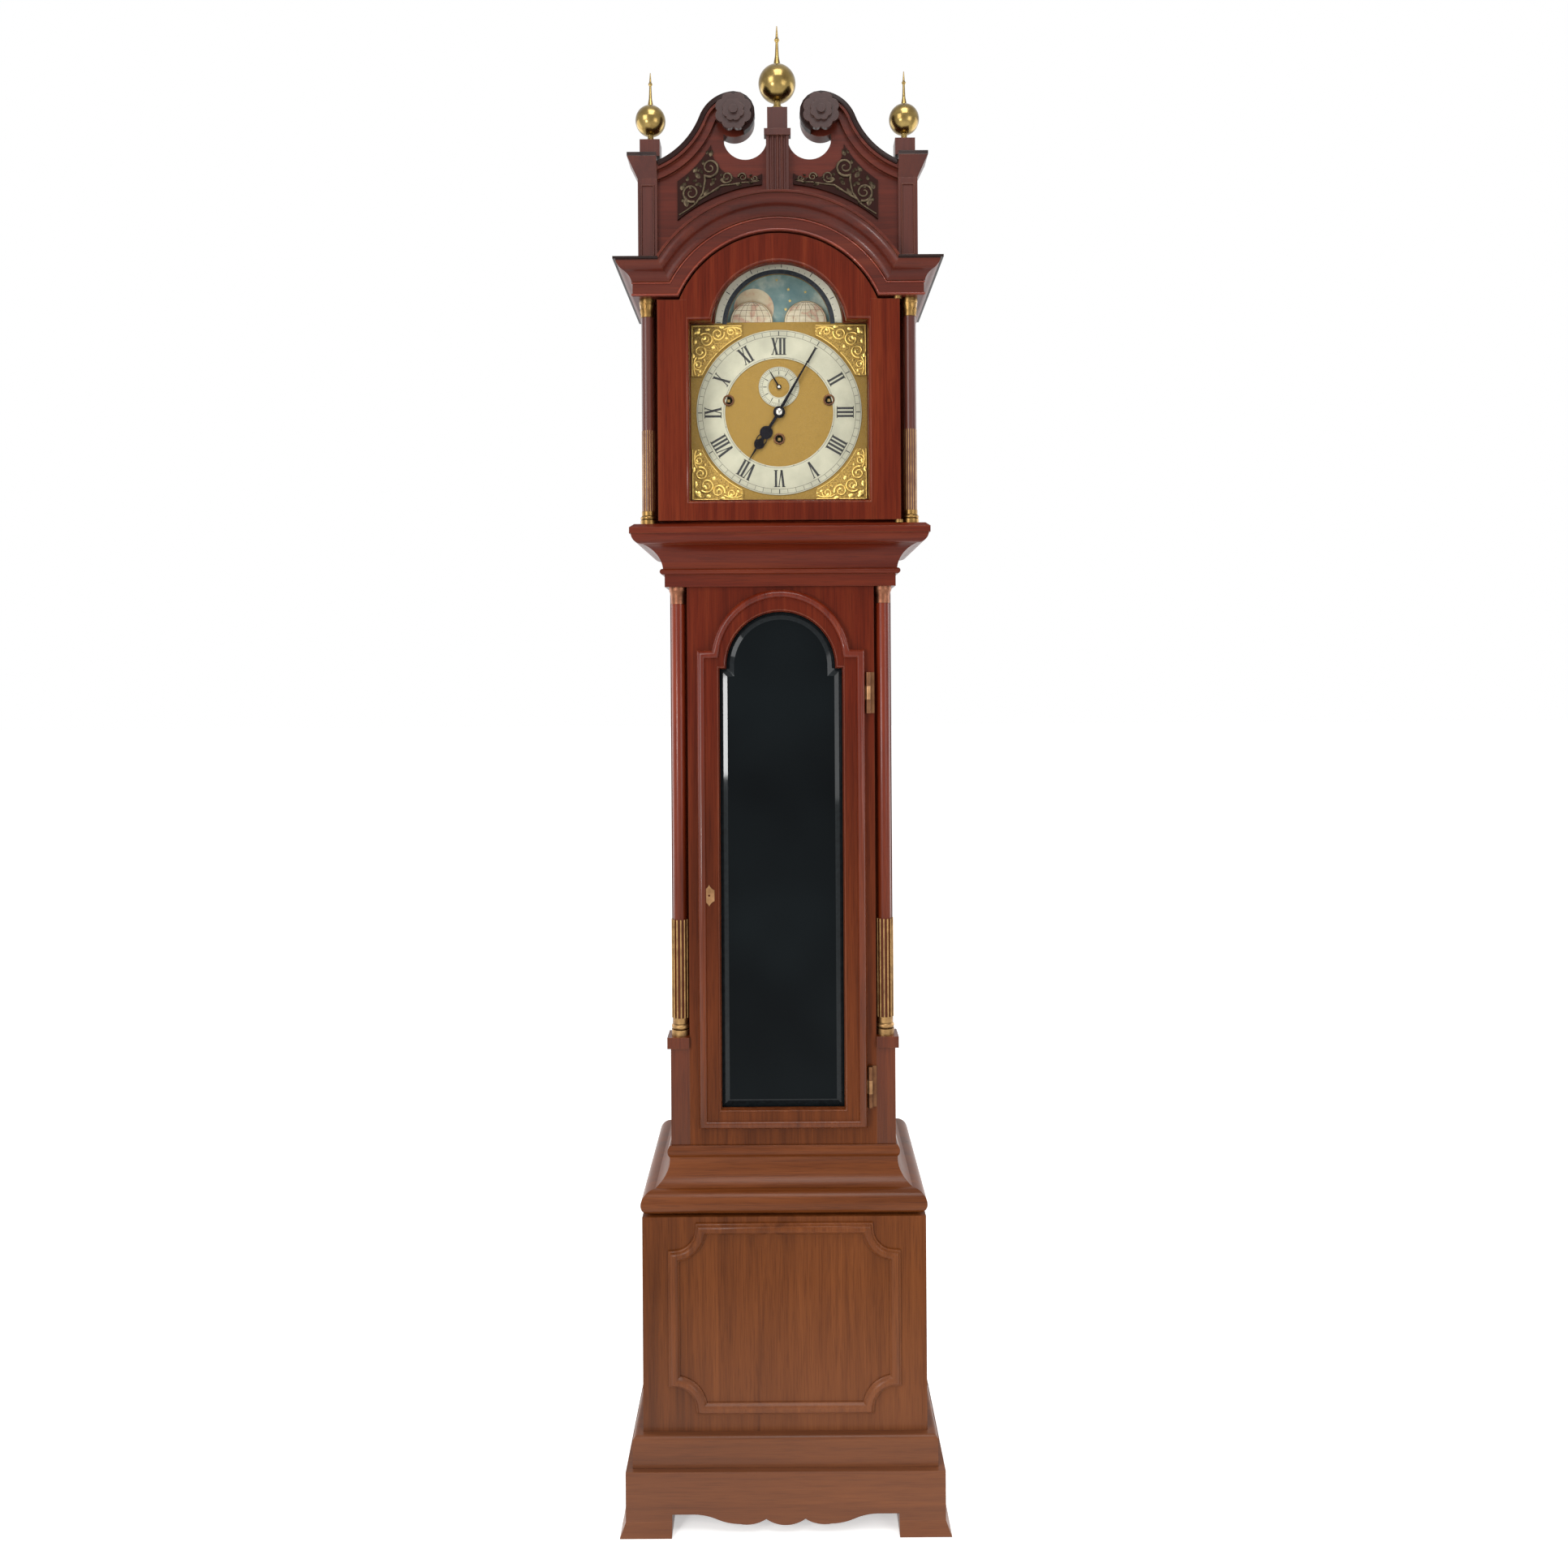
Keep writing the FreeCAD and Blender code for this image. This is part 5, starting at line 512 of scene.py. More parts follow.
def hoop(x, z, section, steps=72):
    """A ring turned about a line from front to back; its section is (radius, depth) points."""
    points = []
    for i in range(steps):
        turn = math.tau * i / steps
        points += [(x + r * math.sin(turn), ahead(depth), z + r * math.cos(turn)) for r, depth in section]
    return points, skin(steps, len(section), closed=True)


def line_round(middle, radius, width):
    """A circle cut into a ring."""
    return hoop(0, middle, [(radius, WAX_BACK), (radius, WAX_FRONT), (radius + width, WAX_FRONT),
                            (radius + width, WAX_BACK)])


def stroke(foot, head, width):
    """A slanting pen stroke from the baseline to the cap height."""
    return [(foot, 0), (foot + width, 0), (head + width, 1), (head, 1)]


def serif(left, right, level):
    """A thin bar at the foot or head of a letter."""
    return [(left, level), (right, level), (right, level + 0.045), (left, level + 0.045)]


LETTERS = {
    "I": (0.23, [stroke(0.05, 0.05, 0.13), serif(0, 0.23, 0), serif(0, 0.23, 0.955)]),
    "V": (0.42, [stroke(0.14, 0.02, 0.135), stroke(0.20, 0.335, 0.055), serif(-0.02, 0.18, 0.955),
                 serif(0.29, 0.43, 0.955)]),
    "X": (0.42, [stroke(0.265, 0.02, 0.135), stroke(0.04, 0.335, 0.055), serif(-0.02, 0.18, 0.955),
                 serif(0.29, 0.43, 0.955), serif(-0.01, 0.13, 0), serif(0.235, 0.43, 0)]),
}
NUMERALS = ("XII", "I", "II", "III", "IIII", "V", "VI", "VII", "VIII", "IX", "X", "XI")
NUMERAL_FOOT = 98
NUMERAL_HEIGHT = 29


def numeral(text, turn):
    """A Roman numeral standing on the inner edge of the chapter ring."""
    start = -sum(LETTERS[letter][0] for letter in text) / 2
    shapes = []
    for letter in text:
        advance, strokes = LETTERS[letter]
        for outline in strokes:
            corners = [(NUMERAL_FOOT + y * NUMERAL_HEIGHT, (start + x) * NUMERAL_HEIGHT)
                       for x, y in outline]
            shapes.append(prism([dial_spot(DIAL_Z, radius, turn, side) for radius, side in corners],
                                WAX_BACK, WAX_FRONT))
        start += advance
    return joined(*shapes)


hour_step = math.tau / 12
minute_step = math.tau / 60
day_step = math.pi / 30
engraving = [numeral(text, hour_step * i) for i, text in enumerate(NUMERALS)]
engraving += [mark(DIAL_Z, 131, 138, minute_step * i, 0.6 if i % 5 else 1.5) for i in range(60)]
engraving += [line_round(DIAL_Z, radius, 0.5) for radius in (94, 130.3, 138.3)]
engraving += [mark(DIAL_Z, 92.6, 94, hour_step * (i + 0.5), 1.2) for i in range(12)]
engraving += [mark(SECONDS_Z, 28.6, 33, minute_step * i, 0.4 if i % 5 else 0.9) for i in range(60)]
engraving += [mark(SECONDS_Z, 21, 27, hour_step * i, 1.3) for i in range(12)]
engraving += [line_round(SECONDS_Z, radius, 0.35) for radius in (19.2, 28, 33.2)]
for day in range(30):
    inner, outer, width = (97, 100, 0.6) if day % 5 else (98.5, 106, 1.2)
    engraving.append(mark(ARCH_Z, inner, outer, day_step * (day - 14.5), width))
piece("dial_engraving", "case", wax.material, joined(*engraving))

# Collets round the three winding holes.
# Turned brass rings let into the dial plate, made dark as painted shade for the shaded winding holes.
collet_section = [(6.6, 270.5), (6.6, 274.4), (7.4, 275), (8.6, 275), (9.6, 274.2), (9.6, 270.5)]
winding_holes = ((0, 1805), (-86, 1871), (85, 1871))
piece("winding_collets", "case", leaf_brass,
      joined(*[hoop(x, z, collet_section, 40) for x, z in winding_holes]))

# Corner spandrels: scrolling foliage on a sunk ground, one casting in each corner of the dial.
# Cast and chased brass, fire gilt, with the ground left dark; screwed on from behind.
sunk_ground = brass("spandrel_ground", (0.54, 0.345, 0.082), (0.095, 0.052, 0.014), 0.42, 420, metallic=0.8)
dress(sunk_ground, "corner_spandrels")
chased = brass("chased_gilt", (0.92, 0.66, 0.19), (0.70, 0.48, 0.125), 0.28, 220, 0.2 * mm, 0.85)


def stem(line, start, end, base, rise=1.0, sides=8):
    """A rounded stem along (x, z) points that tapers from one half-width to another."""
    count = len(line)
    points = []
    for i, (x, z) in enumerate(line):
        across, up = outward(line[max(i - 1, 0)], line[min(i + 1, count - 1)])
        half = start + (end - start) * i / (count - 1)
        for j in range(sides):
            angle = math.tau * j / sides
            side = half * math.cos(angle)
            points.append((x + across * side, ahead(base + half * rise * math.sin(angle)), z + up * side))
    return points, skin(count, sides)


def volute(x, z, outer, inner, start, turns, hand=1):
    """Points of a spiral that curls in towards its eye; angles in degrees from +X."""
    count = int(20 * turns)
    line = []
    for i in range(count + 1):
        share = i / count
        radius = outer + (inner - outer) * share
        angle = math.radians(start) + hand * math.tau * turns * share
        line.append((x + radius * math.cos(angle), z + radius * math.sin(angle)))
    return line


def leaf(x, z, turn, length, width, base, rise):
    """A pointed leaf with a raised midrib, growing from (x, z) at an angle in degrees from +X."""
    along = math.cos(math.radians(turn)), math.sin(math.radians(turn))
    stations = 6
    points = [(x, ahead(base), z)]
    for i in range(1, stations):
        share = i / stations
        half = width / 2 * math.sin(math.pi * share ** 0.75)
        crown = rise * math.sin(math.pi * share)
        middle = x + along[0] * length * share, z + along[1] * length * share
        for side, height in ((-half, 0.15), (0, 1), (half, 0.15), (0, -0.3)):
            points.append((middle[0] - along[1] * side, ahead(base + crown * height),
                           middle[1] + along[0] * side))
    points.append((x + along[0] * length, ahead(base), z + along[1] * length))
    tip = len(points) - 1
    faces = []
    for j in range(4):
        k = (j + 1) % 4
        faces += [(0, 1 + k, 1 + j), (tip, tip - 4 + j, tip - 4 + k)]
        for i in range(stations - 2):
            here, there = 1 + i * 4, 5 + i * 4
            faces.append((here + j, here + k, there + k, there + j))
    return points, faces


def flipped(shape, swap=False, across=1, up=1, middle=0.0):
    """A shape turned over: swapped about the diagonal, then reflected and raised."""
    points, faces = shape
    turned = [(z, y, x) if swap else (x, y, z) for x, y, z in points]
    return [(x * across, y, middle + z * up) for x, y, z in turned], faces


SPANDREL_FACE = 274.6
leg_stems = [
    (volute(137.6, 81, 8.6, 1.6, -100, 1.5), 1.7, 0.8),
    (volute(134.2, 104, 11.4, 2.0, -75, 1.6, -1), 2.1, 0.9),
    ([(141.5, 64), (144.2, 70), (145.2, 78), (144, 88), (141, 94)], 1.2, 1.8),
    ([(147.6, 63), (147.6, 104), (147.6, 147.4)], 0.9, 0.9),
    ([dial_spot(0, 146, math.radians(turn)) for turn in range(64, 44, -2)], 0.9, 0.9),
]
leg_leaves = [(137.6, 81, 20, 8, 6), (144, 92, 70, 13, 6), (134.2, 104, 200, 7, 6), (141, 116, 75, 14, 7),
              (133, 68, 60, 9, 5), (143, 132, 100, 12, 6), (128, 92, 250, 8, 5), (141, 64, 175, 8, 4.5)]
leg = [stem(*shape, SPANDREL_FACE) for shape in leg_stems]
leg += [leaf(*shape, SPANDREL_FACE, 2) for shape in leg_leaves]
heart = [
    stem(volute(124, 124, 12.5, 2.4, 45, 1.7), 2.2, 0.9, SPANDREL_FACE),
    leaf(124, 124, 45, 9, 8, SPANDREL_FACE, 2.4),
    leaf(134, 134, 45, 15, 9, SPANDREL_FACE, 2.4),
    leaf(115, 115, 225, 9, 7, SPANDREL_FACE, 2),
]
spandrel = joined(*heart, *leg, *[flipped(shape, swap=True) for shape in leg])
corners = [flipped(spandrel, across=across, up=up, middle=DIAL_Z) for across in (-1, 1) for up in (-1, 1)]
piece("spandrel_foliage", "case", chased, joined(*corners), 60)

# Half-round shields at the foot of the arch, behind which the moon rises and sets.
# Thin brass painted cream, ruled with brown lines like a small globe.
enamel = Finish("cream_paint")
lands = enamel.noise(38, 4, (1, 1, 1), 0.6)
enamel.set(Base_Color=enamel.ramp(lands, (0.40, (0.58, 0.51, 0.36)), (0.5, (0.50, 0.43, 0.29)),
                                  (0.56, (0.44, 0.25, 0.17)), (0.66, (0.38, 0.40, 0.26))),
           Roughness=enamel.span(enamel.noise(90, 3), 0.35, 0.55))
brown_ink = Finish("brown_ink")
ink_cloud = brown_ink.noise(200, 2)
brown_ink.set(Base_Color=brown_ink.ramp(ink_cloud, (0.3, (0.05, 0.025, 0.012)), (0.7, (0.11, 0.06, 0.03))),
              Roughness=brown_ink.span(ink_cloud, 0.4, 0.6))
SILL_Z = 2004
SHIELD_RADIUS = 35.2
SHIELD_BACK = 271.6
SHIELD_FACE = 272.5
RULED_RADIUS = SHIELD_RADIUS * 0.97
half_turn = [math.pi * i / 32 for i in range(33)]
shields, rulings = [], []
for middle in (-46, 46):
    outline = [(middle + SHIELD_RADIUS * math.cos(turn), SILL_Z + SHIELD_RADIUS * math.sin(turn))
               for turn in half_turn]
    shields.append(prism(outline, SHIELD_BACK, SHIELD_FACE))
    for share in (-0.95, -0.62, -0.3, 0, 0.3, 0.62, 0.95):
        line = [(middle + RULED_RADIUS * share * math.cos(turn / 2),
                 SILL_Z + RULED_RADIUS * math.sin(turn / 2)) for turn in half_turn]
        rulings.append(stem(line, 0.3, 0.3, SHIELD_FACE, 0.5, 4))
    for share in (0.3, 0.58, 0.82):
        half = RULED_RADIUS * math.sqrt(1 - share * share)
        line = [(middle + half * step / 4, SILL_Z + SHIELD_RADIUS * share) for step in range(-4, 5)]
        rulings.append(stem(line, 0.3, 0.3, SHIELD_FACE, 0.5, 4))
piece("arch_shields", "case", enamel.material, joined(*shields))
piece("shield_rulings", "case", brown_ink.material, joined(*rulings))

# Border round the moon's opening.
# A band of blue-black on the dial plate, inside the lunar ring, painted shade for the shadowed edge of the
# opening.
night = Finish("painted_edge_shade")
night_cloud = night.noise(140, 3)
night.set(Base_Color=night.ramp(night_cloud, (0.3, (0.010, 0.014, 0.022)), (0.7, (0.026, 0.032, 0.042))),
          Roughness=night.span(night_cloud, 0.4, 0.55))
sweep = [math.radians(-88 + 176 * i / 48) for i in range(49)]
band = [dial_spot(ARCH_Z, 88.3, turn) for turn in sweep]
band += [dial_spot(ARCH_Z, 95.8, turn) for turn in reversed(sweep)]
piece("arch_border", "case", night.material, prism(band, 271.7, 272.4))

# Moon disc behind the arch: a night sky with two moons and small stars.
# Brass sheet painted teal, the moons cream with a blush, the stars gold leaf.
painted = Finish("painted_sky")
painted.set(Base_Color=painted.ramp(painted.noise(22, 4), (0.34, (0.080, 0.160, 0.165)),
                                    (0.5, (0.150, 0.240, 0.225)), (0.64, (0.36, 0.40, 0.33))),
            Roughness=painted.span(painted.noise(60, 3), 0.35, 0.5))
dress(painted.material, "moon_disc")
moon_paint = Finish("moon_paint")
blush = moon_paint.noise(48, 3, (1, 1, 1), 0.4)
moon_paint.set(Base_Color=moon_paint.ramp(blush, (0.38, (0.62, 0.54, 0.36)), (0.55, (0.55, 0.44, 0.28)),
                                          (0.68, (0.50, 0.27, 0.18))),
               Roughness=moon_paint.span(moon_paint.noise(90, 3), 0.35, 0.5))
MOON_AXIS_Z = 1994


def dome(x, z, radius, base, rise, rings=6, steps=48):
    """A low round boss with a flat back."""
    points = [(x, ahead(base + rise), z)]
    for ring in range(1, rings + 1):
        share = ring / rings
        for i in range(steps):
            turn = math.tau * i / steps
            points.append((x + radius * share * math.cos(turn), ahead(base + rise * (1 - share ** 3)),
                           z + radius * share * math.sin(turn)))
    faces = [(0, 1 + i, 1 + (i + 1) % steps) for i in range(steps)]
    for ring in range(rings - 1):
        for i in range(steps):
            here, there = 1 + ring * steps, 1 + (ring + 1) * steps
            faces.append((here + i, here + (i + 1) % steps, there + (i + 1) % steps, there + i))
    faces.append(tuple(1 + (rings - 1) * steps + i for i in range(steps)))
    return points, faces


def star(x, z, size):
    """A flat star of five points."""
    tips = [(size if i % 2 == 0 else size * 0.42, math.tau * i / 10) for i in range(10)]
    outline = [(x + reach * math.sin(turn), z + reach * math.cos(turn)) for reach, turn in tips]
    return prism(outline, 264.8, 265.3)


moons = [dome(*dial_spot(MOON_AXIS_Z, 55, math.radians(turn)), 36, 264.9, 0.8) for turn in (-50, 130)]
piece("painted_moons", "moon", moon_paint.material, joined(*moons), 60)
star_places = [(70, 14), (52, 22), (78, 36), (60, 48), (36, 20), (80, 64), (84, -2), (44, 70), (66, 78)]
stars = [star(*dial_spot(MOON_AXIS_Z, reach, math.radians(turn + half)), 3.2 - 0.2 * (i % 4))
         for half in (0, 180) for i, (reach, turn) in enumerate(star_places)]
piece("gold_stars", "moon", chased, joined(*stars))

# Hands: pierced hour hand, plain minute and seconds hands, and the collet that holds them on.
# Steel filed thin and blued over a flame; the collet and its pin are left bright.
blued = brass("blued_steel", (0.016, 0.0145, 0.019), (0.008, 0.007, 0.008), 0.3)
dress(blued, "hour_hand", "minute_hand", "seconds_hand")
HOUR_TURN = math.radians(212.5)
HOUR_HAND_FACE = 276.8
tip = [dial_spot(DIAL_Z, reach, HOUR_TURN) for reach in (74, 82, 90, 97)]
scrolls = [stem(tip, 1.8, 0.5, HOUR_HAND_FACE, 0.4)]
for side in (-1, 1):
    turns = [math.tau * i / 24 for i in range(24)] + [0.0]
    loop = [dial_spot(DIAL_Z, 56 + 8 * math.cos(turn), HOUR_TURN, side * (4.5 + 4 * math.sin(turn)))
            for turn in turns]
    scrolls.append(stem(loop, 0.9, 0.9, HOUR_HAND_FACE, 0.6, 6))
piece("hour_hand_scrolls", "hour_train", blued, joined(*scrolls), 60)
bright_boss = brass("bright_boss", (0.56, 0.545, 0.49), (0.42, 0.41, 0.36), 0.2)
piece("hand_collet", "minute_train", bright_boss,
      joined(dome(0, DIAL_Z, 6.2, 281.3, 2.2, 5, 32), dome(0, DIAL_Z, 2.2, 283.2, 1.6, 4, 16)), 50)
piece("seconds_boss", "escape_train", bright_boss, dome(0, SECONDS_Z, 2.6, 274.9, 0.9, 4, 20), 50)

# Hood carcase, cornice and pediment boards.
# The same red mahogany, the mouldings planed by hand and steamed round the arch.
dress(upright, "hood_carcase", "hood_mask")
pillar_wood = mahogany("mahogany_pillar", gloss=0.28, shade=0.85, bloom=0.4, coat=0.1, shine=0.28)
dress(pillar_wood, "hood_pillars")
dress(rail, "hood_foot_moulding")
dim_upright = mahogany("mahogany_dim_upright", shade=0.78, bloom=0.42, shine=0.22,
                       black_band=(2.2558, 2.2619, 0.15))
dim_rail = mahogany("mahogany_dim_rail", "x", shade=0.95, bloom=0.2, coat=0.1, shine=0.12)
black_topped = mahogany("mahogany_cornice", "x", shade=0.95, bloom=0.2, coat=0.1, shine=0.12,
                        black_band=(2.0805, 2.0849, 0.1955))
dress(dim_upright, "pediment_pedestals")
dress(black_topped, "cornice")
dress(dim_rail, "tympanum")

# Dark caps along the tops of the swan necks.
# A thin mahogany fillet, sprung round the curve and bradded to the neck moulding, made near black as
# painted shade along the shadowed top of the neck.
painted_shade_black = mahogany("mahogany_painted_shade", "x", gloss=0.36, shade=0.16, bloom=0.5)


def bend(start, end, radius, turn, steps=14):
    """Points along the shorter arc from start to end; turn is +1 anticlockwise and -1 clockwise."""
    across, up = end[0] - start[0], end[1] - start[1]
    chord = math.hypot(across, up)
    reach = math.sqrt(radius * radius - chord * chord / 4) * turn / chord
    x, z = (start[0] + end[0]) / 2 - up * reach, (start[1] + end[1]) / 2 + across * reach
    first = math.atan2(start[1] - z, start[0] - x)
    sweep = turn * 2 * math.asin(chord / 2 / radius)
    turns = [first + sweep * i / steps for i in range(steps + 1)]
    return [(x + radius * math.cos(angle), z + radius * math.sin(angle)) for angle in turns]


neck_top = bend((-199, 2250), (-128, 2322), 135, 1) + bend((-128, 2322), (-72, 2364), 64, -1)[1:]
neck_top += volute(-72, 2330, 34, 34, 90, 0.42, -1)[1:]
cap_section = [(-1.2, 325), (-1.2, 340.6), (0.4, 341.4), (6.8, 341.4), (7.6, 340.4), (7.6, 339.6),
               (0.2, 339.6), (0.2, 325)]
neck_cap = run(neck_top, cap_section, closed=False)
piece("neck_shade_caps", "hood", painted_shade_black, joined(neck_cap, flipped(neck_cap, across=-1)), 50)

# Pediment frets and rosettes.
# Carved in thin mahogany; the foliage of the frets is picked out in dull gilding over a dark ground.
dress(mahogany("carved_mahogany", gloss=0.3, shade=0.5, bloom=0.85, coat=0.5, shine=0.2), "rosettes")
dress(mahogany("fret_ground", gloss=0.5, shade=0.26, bloom=0.6, coat=0, shine=0.05), "fret_panels")
fret_gilt = brass("fret_gilding", (0.090, 0.069, 0.043), (0.040, 0.029, 0.020), 0.42, 160, 0.3 * mm)
FRET_FACE = 328.6
fret_leaves = [
    (-150, 2178, 100, 22, 9), (-160, 2206, 70, 15, 8), (-122, 2196, 60, 16, 8), (-128, 2226, 130, 15, 8),
    (-112, 2262, 70, 13, 7), (-96, 2222, 20, 14, 7), (-70, 2218, 340, 13, 6), (-50, 2220, 345, 11, 5),
    (-140, 2236, 50, 13, 7), (-154, 2188, 150, 8, 6), (-157, 2214, 40, 9, 6), (-150, 2221, 80, 11, 6),
    (-137, 2215, 20, 11, 6), (-140, 2187, 330, 10, 5), (-133, 2224, 200, 9, 5), (-126, 2211, 110, 10, 5),
    (-112, 2214, 45, 12, 6), (-104, 2206, 25, 10, 5), (-122, 2248, 100, 10, 6), (-118, 2266, 60, 9, 5),
    (-96, 2233, 340, 8, 5), (-101, 2226, 200, 9, 5), (-133, 2238, 30, 9, 5), (-127, 2240, 300, 8, 5),
    (-105, 2216, 120, 9, 5), (-110, 2224, 10, 9, 5), (-72, 2226, 200, 8, 4), (-64, 2217, 30, 7, 4),
    (-47, 2230, 20, 6, 4), (-46, 2226, 200, 7, 4), (-34, 2223, 10, 6, 3.5), (-146, 2208, 60, 8, 6),
]
fret = [
    stem(volute(-143, 2202, 15.5, 2.6, -70, 1.6, -1), 2.8, 1.2, FRET_FACE),
    stem(volute(-112, 2244, 16, 2.6, -120, 1.6), 2.8, 1.2, FRET_FACE),
    stem(volute(-84, 2228, 10.5, 2.0, 200, 1.5), 2.2, 1.0, FRET_FACE),
    stem(volute(-58, 2228, 7.2, 1.6, 180, 1.4, -1), 1.8, 0.9, FRET_FACE),
    stem(volute(-38, 2226, 5.4, 1.4, 180, 1.3), 1.5, 0.8, FRET_FACE),
    stem([(-163, 2166), (-150, 2174), (-136, 2184), (-124, 2202), (-120, 2222), (-121, 2232)],
         1.6, 2.6, FRET_FACE),
    stem([(-132, 2190), (-112, 2202), (-94, 2214), (-76, 2216), (-58, 2219), (-40, 2220), (-30, 2222)],
         2.4, 1.0, FRET_FACE),
    *[leaf(*place, FRET_FACE, 3) for place in fret_leaves],
]
fret_half = joined(*fret)
fret_pair = joined(fret_half, flipped(fret_half, across=-1))
piece("fret_foliage", "hood", fret_gilt, fret_pair, 60)

# Beads on the frieze of the cornice, along its lower edge and under the cove.
# Mahogany astragals steamed round the arch, glued on and mitred where they meet the straight runs.
FRIEZE_FACE = 340
FRIEZE_LOW = 2028
ARCH_MIDDLE = 1955
ARCH_RADIUS = 180


def over_arch(level, end=241.5):
    """Points along the frieze at a level: straight in from the left, over the arch and out to the right."""
    reach = ARCH_RADIUS + level - FRIEZE_LOW
    start = math.asin((level - ARCH_MIDDLE) / reach)
    turns = [math.pi - start - (math.pi - 2 * start) * i / 40 for i in range(41)]
    arch = [(reach * math.cos(turn), ARCH_MIDDLE + reach * math.sin(turn)) for turn in turns]
    return [(-end, level)] + arch + [(end, level)]


def bead(radius, face):
    """Half-round section standing on a face."""
    turns = [math.pi * i / 8 for i in range(9)]
    curve = [(-radius * math.cos(turn), face + 0.5 + radius * math.sin(turn)) for turn in turns]
    return [(-radius, face - 0.5), *curve, (radius, face - 0.5)]


# The beads are made much lighter than the frieze, a painted highlight along the arch.
bead_wood_highlit = mahogany("mahogany_bead_highlit", "x", gloss=0.22, shade=1.8, coat=0.3, shine=0.25)
piece("frieze_beads", "hood", bead_wood_highlit,
      joined(run(over_arch(2030.4), bead(1.9, FRIEZE_FACE), closed=False),
             run(over_arch(2049.8), bead(1.4, FRIEZE_FACE), closed=False)))

# Raised panels on the fronts of the side pedestals.
# A thin mahogany bead planted in a long frame on each, mitred at the corners.
panel_bead = [(-1.6, 333.6), (-1.6, 334.6), (-0.8, 335.8), (0.8, 335.8), (1.6, 334.6), (1.6, 333.6)]
frames = [run([(side - 10, 2096), (side + 10, 2096), (side + 10, 2213), (side - 10, 2213)], panel_bead)
          for side in (-215, 215)]
piece("pedestal_panels", "hood", dim_upright, joined(*frames))

# Finials: balls on turned necks, one on each block of the pediment.
# Brass turned and fire gilt, doweled into the wood.
gilt = brass("gilt_brass", (0.265, 0.188, 0.066), (0.15, 0.098, 0.032), 0.18)
dress(gilt, "finials")

# Hood pillars' brasses: bases, leafy capitals and reeds in the lower flutes.
# Cast brass, the leaves chased up, slipped over the shafts.
pillar_brass = brass("pillar_brass", (0.235, 0.140, 0.046), (0.125, 0.067, 0.022), 0.28)
dress(pillar_brass, "pillar_brasses")
PILLAR_X = 218
PILLAR_DEPTH = 318


def wrapped_leaf(x, turn, blade, half):
    """A leaf that stands against a round capital; the blade is (radius, height) points from foot to tip."""
    points = []
    for i, (radius, z) in enumerate(blade):
        spread = half * math.sin(math.pi * (i + 0.8) / (len(blade) + 0.6)) / radius
        edge, back = radius - 0.3, radius - 1.5
        for offset, reach in ((-spread, edge), (0, radius), (spread, edge), (0, back)):
            angle = turn + offset
            points.append((x + reach * math.sin(angle), ahead(PILLAR_DEPTH + reach * math.cos(angle)), z))
    return points, skin(len(blade), 4)


def upright_rod(x, y, low, high, radius, sides=8):
    """A thin vertical rod with a rounded top."""
    levels = [(low, radius), (high - radius, radius),
              (high - radius * 0.3, radius * 0.7), (high, radius * 0.2)]
    turns = [math.tau * i / sides for i in range(sides)]
    points = [(x + reach * math.cos(turn), y + reach * math.sin(turn), z)
              for z, reach in levels for turn in turns]
    return points, skin(len(levels), sides)


REED_CIRCLE = 9.75
LOWER_LEAF = [(11.4, 1999), (11.9, 2003), (12.7, 2007), (13.1, 2010), (12.9, 2012)]
UPPER_LEAF = [(11.6, 2007), (12.1, 2012), (12.9, 2016), (13.4, 2019.5), (13.2, 2021.5)]
leaves, reeds = [], []
for x in (-PILLAR_X, PILLAR_X):
    for i in range(8):
        leaves.append(wrapped_leaf(x, math.tau * i / 8, LOWER_LEAF, 4.2))
        leaves.append(wrapped_leaf(x, math.tau * (i + 0.5) / 8, UPPER_LEAF, 4.6))
    for i in range(16):
        turn = math.tau * i / 16
        depth = PILLAR_DEPTH + REED_CIRCLE * math.cos(turn)
        reeds.append(upright_rod(x + REED_CIRCLE * math.sin(turn), ahead(depth), 1675, 1811, 1.05))
piece("capital_leaves", "hood", pillar_brass, joined(*leaves), 60)
reed_brass = brass("brown_brass", *BROWN_BRASS)
piece("pillar_reeds", "hood", reed_brass, joined(*reeds), 50)

# Hood door: an arched frame of mitred stiles with a rounded bead at the sight edge, hung on pivots.
# Red mahogany round clear old glass, bedded in putty from behind.
dress(upright, "hood_door_frame")
dress(old_brass, "hood_door_pivots")
sight_section = [(4.2, 335.5), (4.2, 338.2), (3.2, 338.7), (1.6, 337.6), (0.5, 335.2), (0.2, 332),
                 (2, 330), (4.2, 332)]
piece("hood_sight_bead", "hood_door", moulded,
      run(arched(148, 1692, 1990, 2086, 113), sight_section))
clear_pane = Finish("clear_pane")
tint = clear_pane.ramp(clear_pane.noise(5, 2), (0.3, (0.05, 0.06, 0.06)), (0.7, (0.10, 0.11, 0.11)))
clear_pane.set(Base_Color=tint, Roughness=clear_pane.span(clear_pane.noise(20, 2), 0.01, 0.04),
               Alpha=0.03, IOR=1.1)
dress(clear_pane.material, "hood_door_glass")

# Stage: a pale matt floor that fades to white with distance, and a white surround.
# Large soft lamps stand in front, above and behind; the camera looks level at the trunk.
bpy.ops.mesh.primitive_plane_add(size=60)
floor = bpy.context.object
floor.name = "floor"
pale = Finish("pale_floor")
pale.set(Base_Color=(0.86, 0.86, 0.85, 1), Roughness=0.8, Specular_IOR_Level=0.0)
seen = pale.add("ShaderNodeLightPath").outputs
shown_floor = pale.maths("MAXIMUM", seen["Is Glossy Ray"], seen["Is Transmission Ray"])
shown_floor = pale.maths("MAXIMUM", seen["Is Camera Ray"], shown_floor)
away = pale.add("ShaderNodeVectorMath", {"operation": "LENGTH"}, i0=pale.place()).outputs["Value"]
glow = pale.span(away, 0.40, 0.66, 0.8, 5)
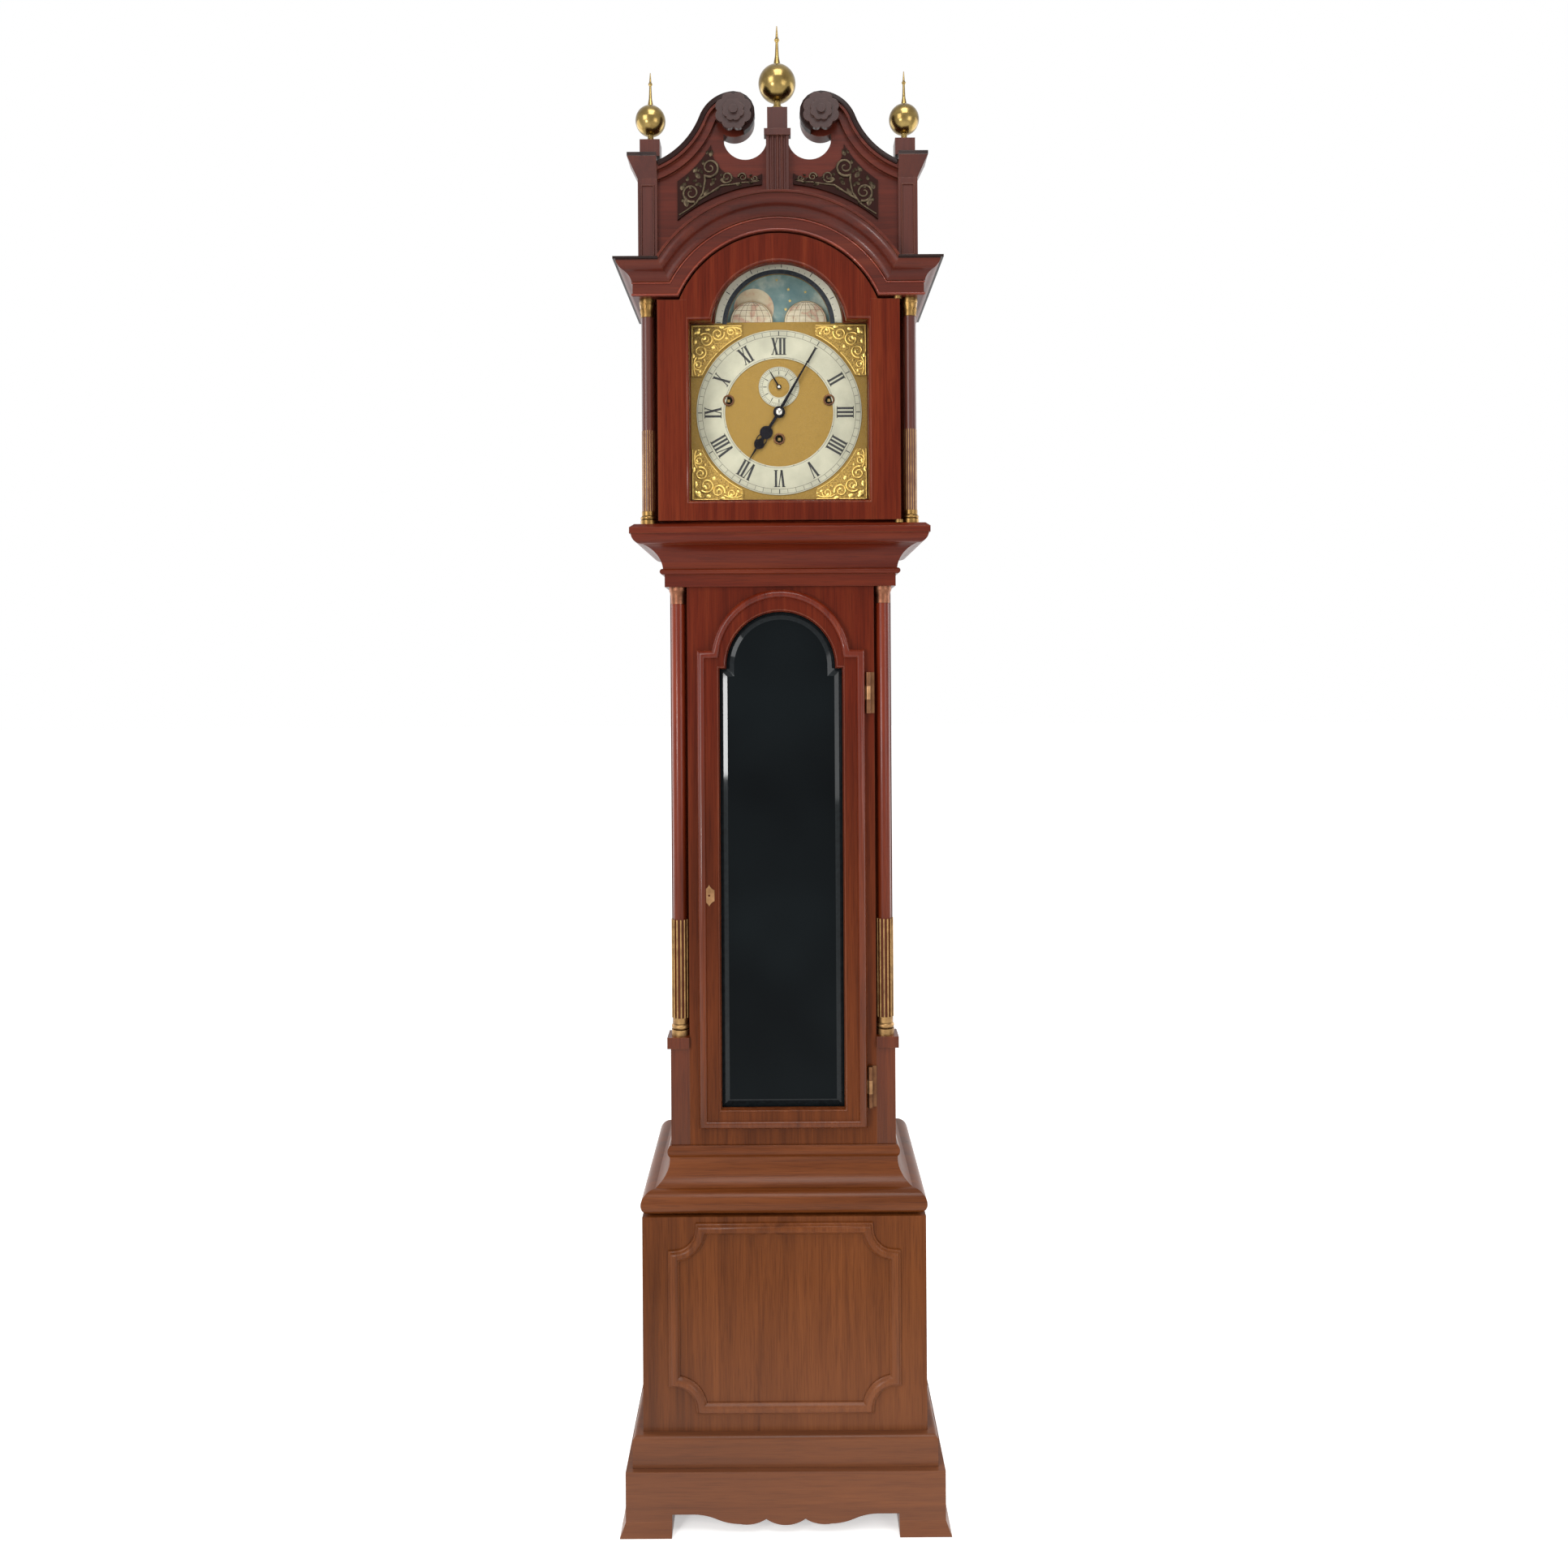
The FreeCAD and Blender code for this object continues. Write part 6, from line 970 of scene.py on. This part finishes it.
pale.set(Emission_Color=(1, 1, 1, 1), Emission_Strength=pale.maths("MULTIPLY", shown_floor, glow))
floor.data.materials.append(pale.material)
floor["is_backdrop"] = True

world = bpy.data.worlds.new("studio")
bpy.context.scene.world = world
world.use_nodes = True
tree = world.node_tree
rays = tree.nodes.new("ShaderNodeLightPath")


def surround(strength):
    """White all round at one strength."""
    shade = tree.nodes.new("ShaderNodeBackground")
    shade.inputs["Color"].default_value = (1, 1, 1, 1)
    shade.inputs["Strength"].default_value = strength
    return shade.outputs[0]


def chosen(ray, otherwise, when):
    """One surround for a kind of ray and another for the rest."""
    swap = tree.nodes.new("ShaderNodeMixShader")
    tree.links.new(rays.outputs[ray], swap.inputs[0])
    tree.links.new(otherwise, swap.inputs[1])
    tree.links.new(when, swap.inputs[2])
    return swap.outputs[0]


white = surround(1.0)
shown = chosen("Is Glossy Ray", surround(0.6), white)
shown = chosen("Is Transmission Ray", shown, white)
shown = chosen("Is Camera Ray", shown, white)
tree.links.new(shown, tree.nodes["World Output"].inputs["Surface"])


def lamp(name, place, aim, size, power):
    """A large soft lamp pointed at a place on the clock."""
    light = bpy.data.lights.new(name, "AREA")
    light.size = size
    light.energy = power
    made = bpy.data.objects.new(name, light)
    made.location = place
    made.rotation_euler = (Vector(aim) - Vector(place)).to_track_quat("-Z", "Y").to_euler()
    bpy.context.collection.objects.link(made)


lamp("key_lamp", (-2.2, -3.0, 2.6), (0, 0, 1.3), 1.6, 54)
lamp("fill_lamp", (2.4, -2.8, 1.6), (0, 0, 1.3), 1.6, 31)
lamp("top_lamp", (0.2, -1.7, 4.0), (0, 0, 0.6), 1.4, 48)
lamp("left_rim_lamp", (-2.4, 1.0, 1.6), (0, 0, 1.2), 2.4, 46)
lamp("right_rim_lamp", (2.4, 1.0, 1.6), (0, 0, 1.2), 2.4, 46)
lamp("window_glint", (-1.55, -2.7, 1.19), (-0.1, -0.1, 1.32), 0.42, 24)

camera = bpy.data.objects.new("camera", bpy.data.cameras.new("camera"))
camera.data.sensor_width = 36
camera.data.lens = 27.75
camera.data.shift_y = -0.0708
camera.location = (0.0055, -2.1455, 1.4067)
camera.rotation_euler = (math.pi / 2, math.radians(0.36), 0)
bpy.context.collection.objects.link(camera)
bpy.context.scene.camera = camera
bpy.context.scene.view_settings.view_transform = "Standard"

low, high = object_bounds()
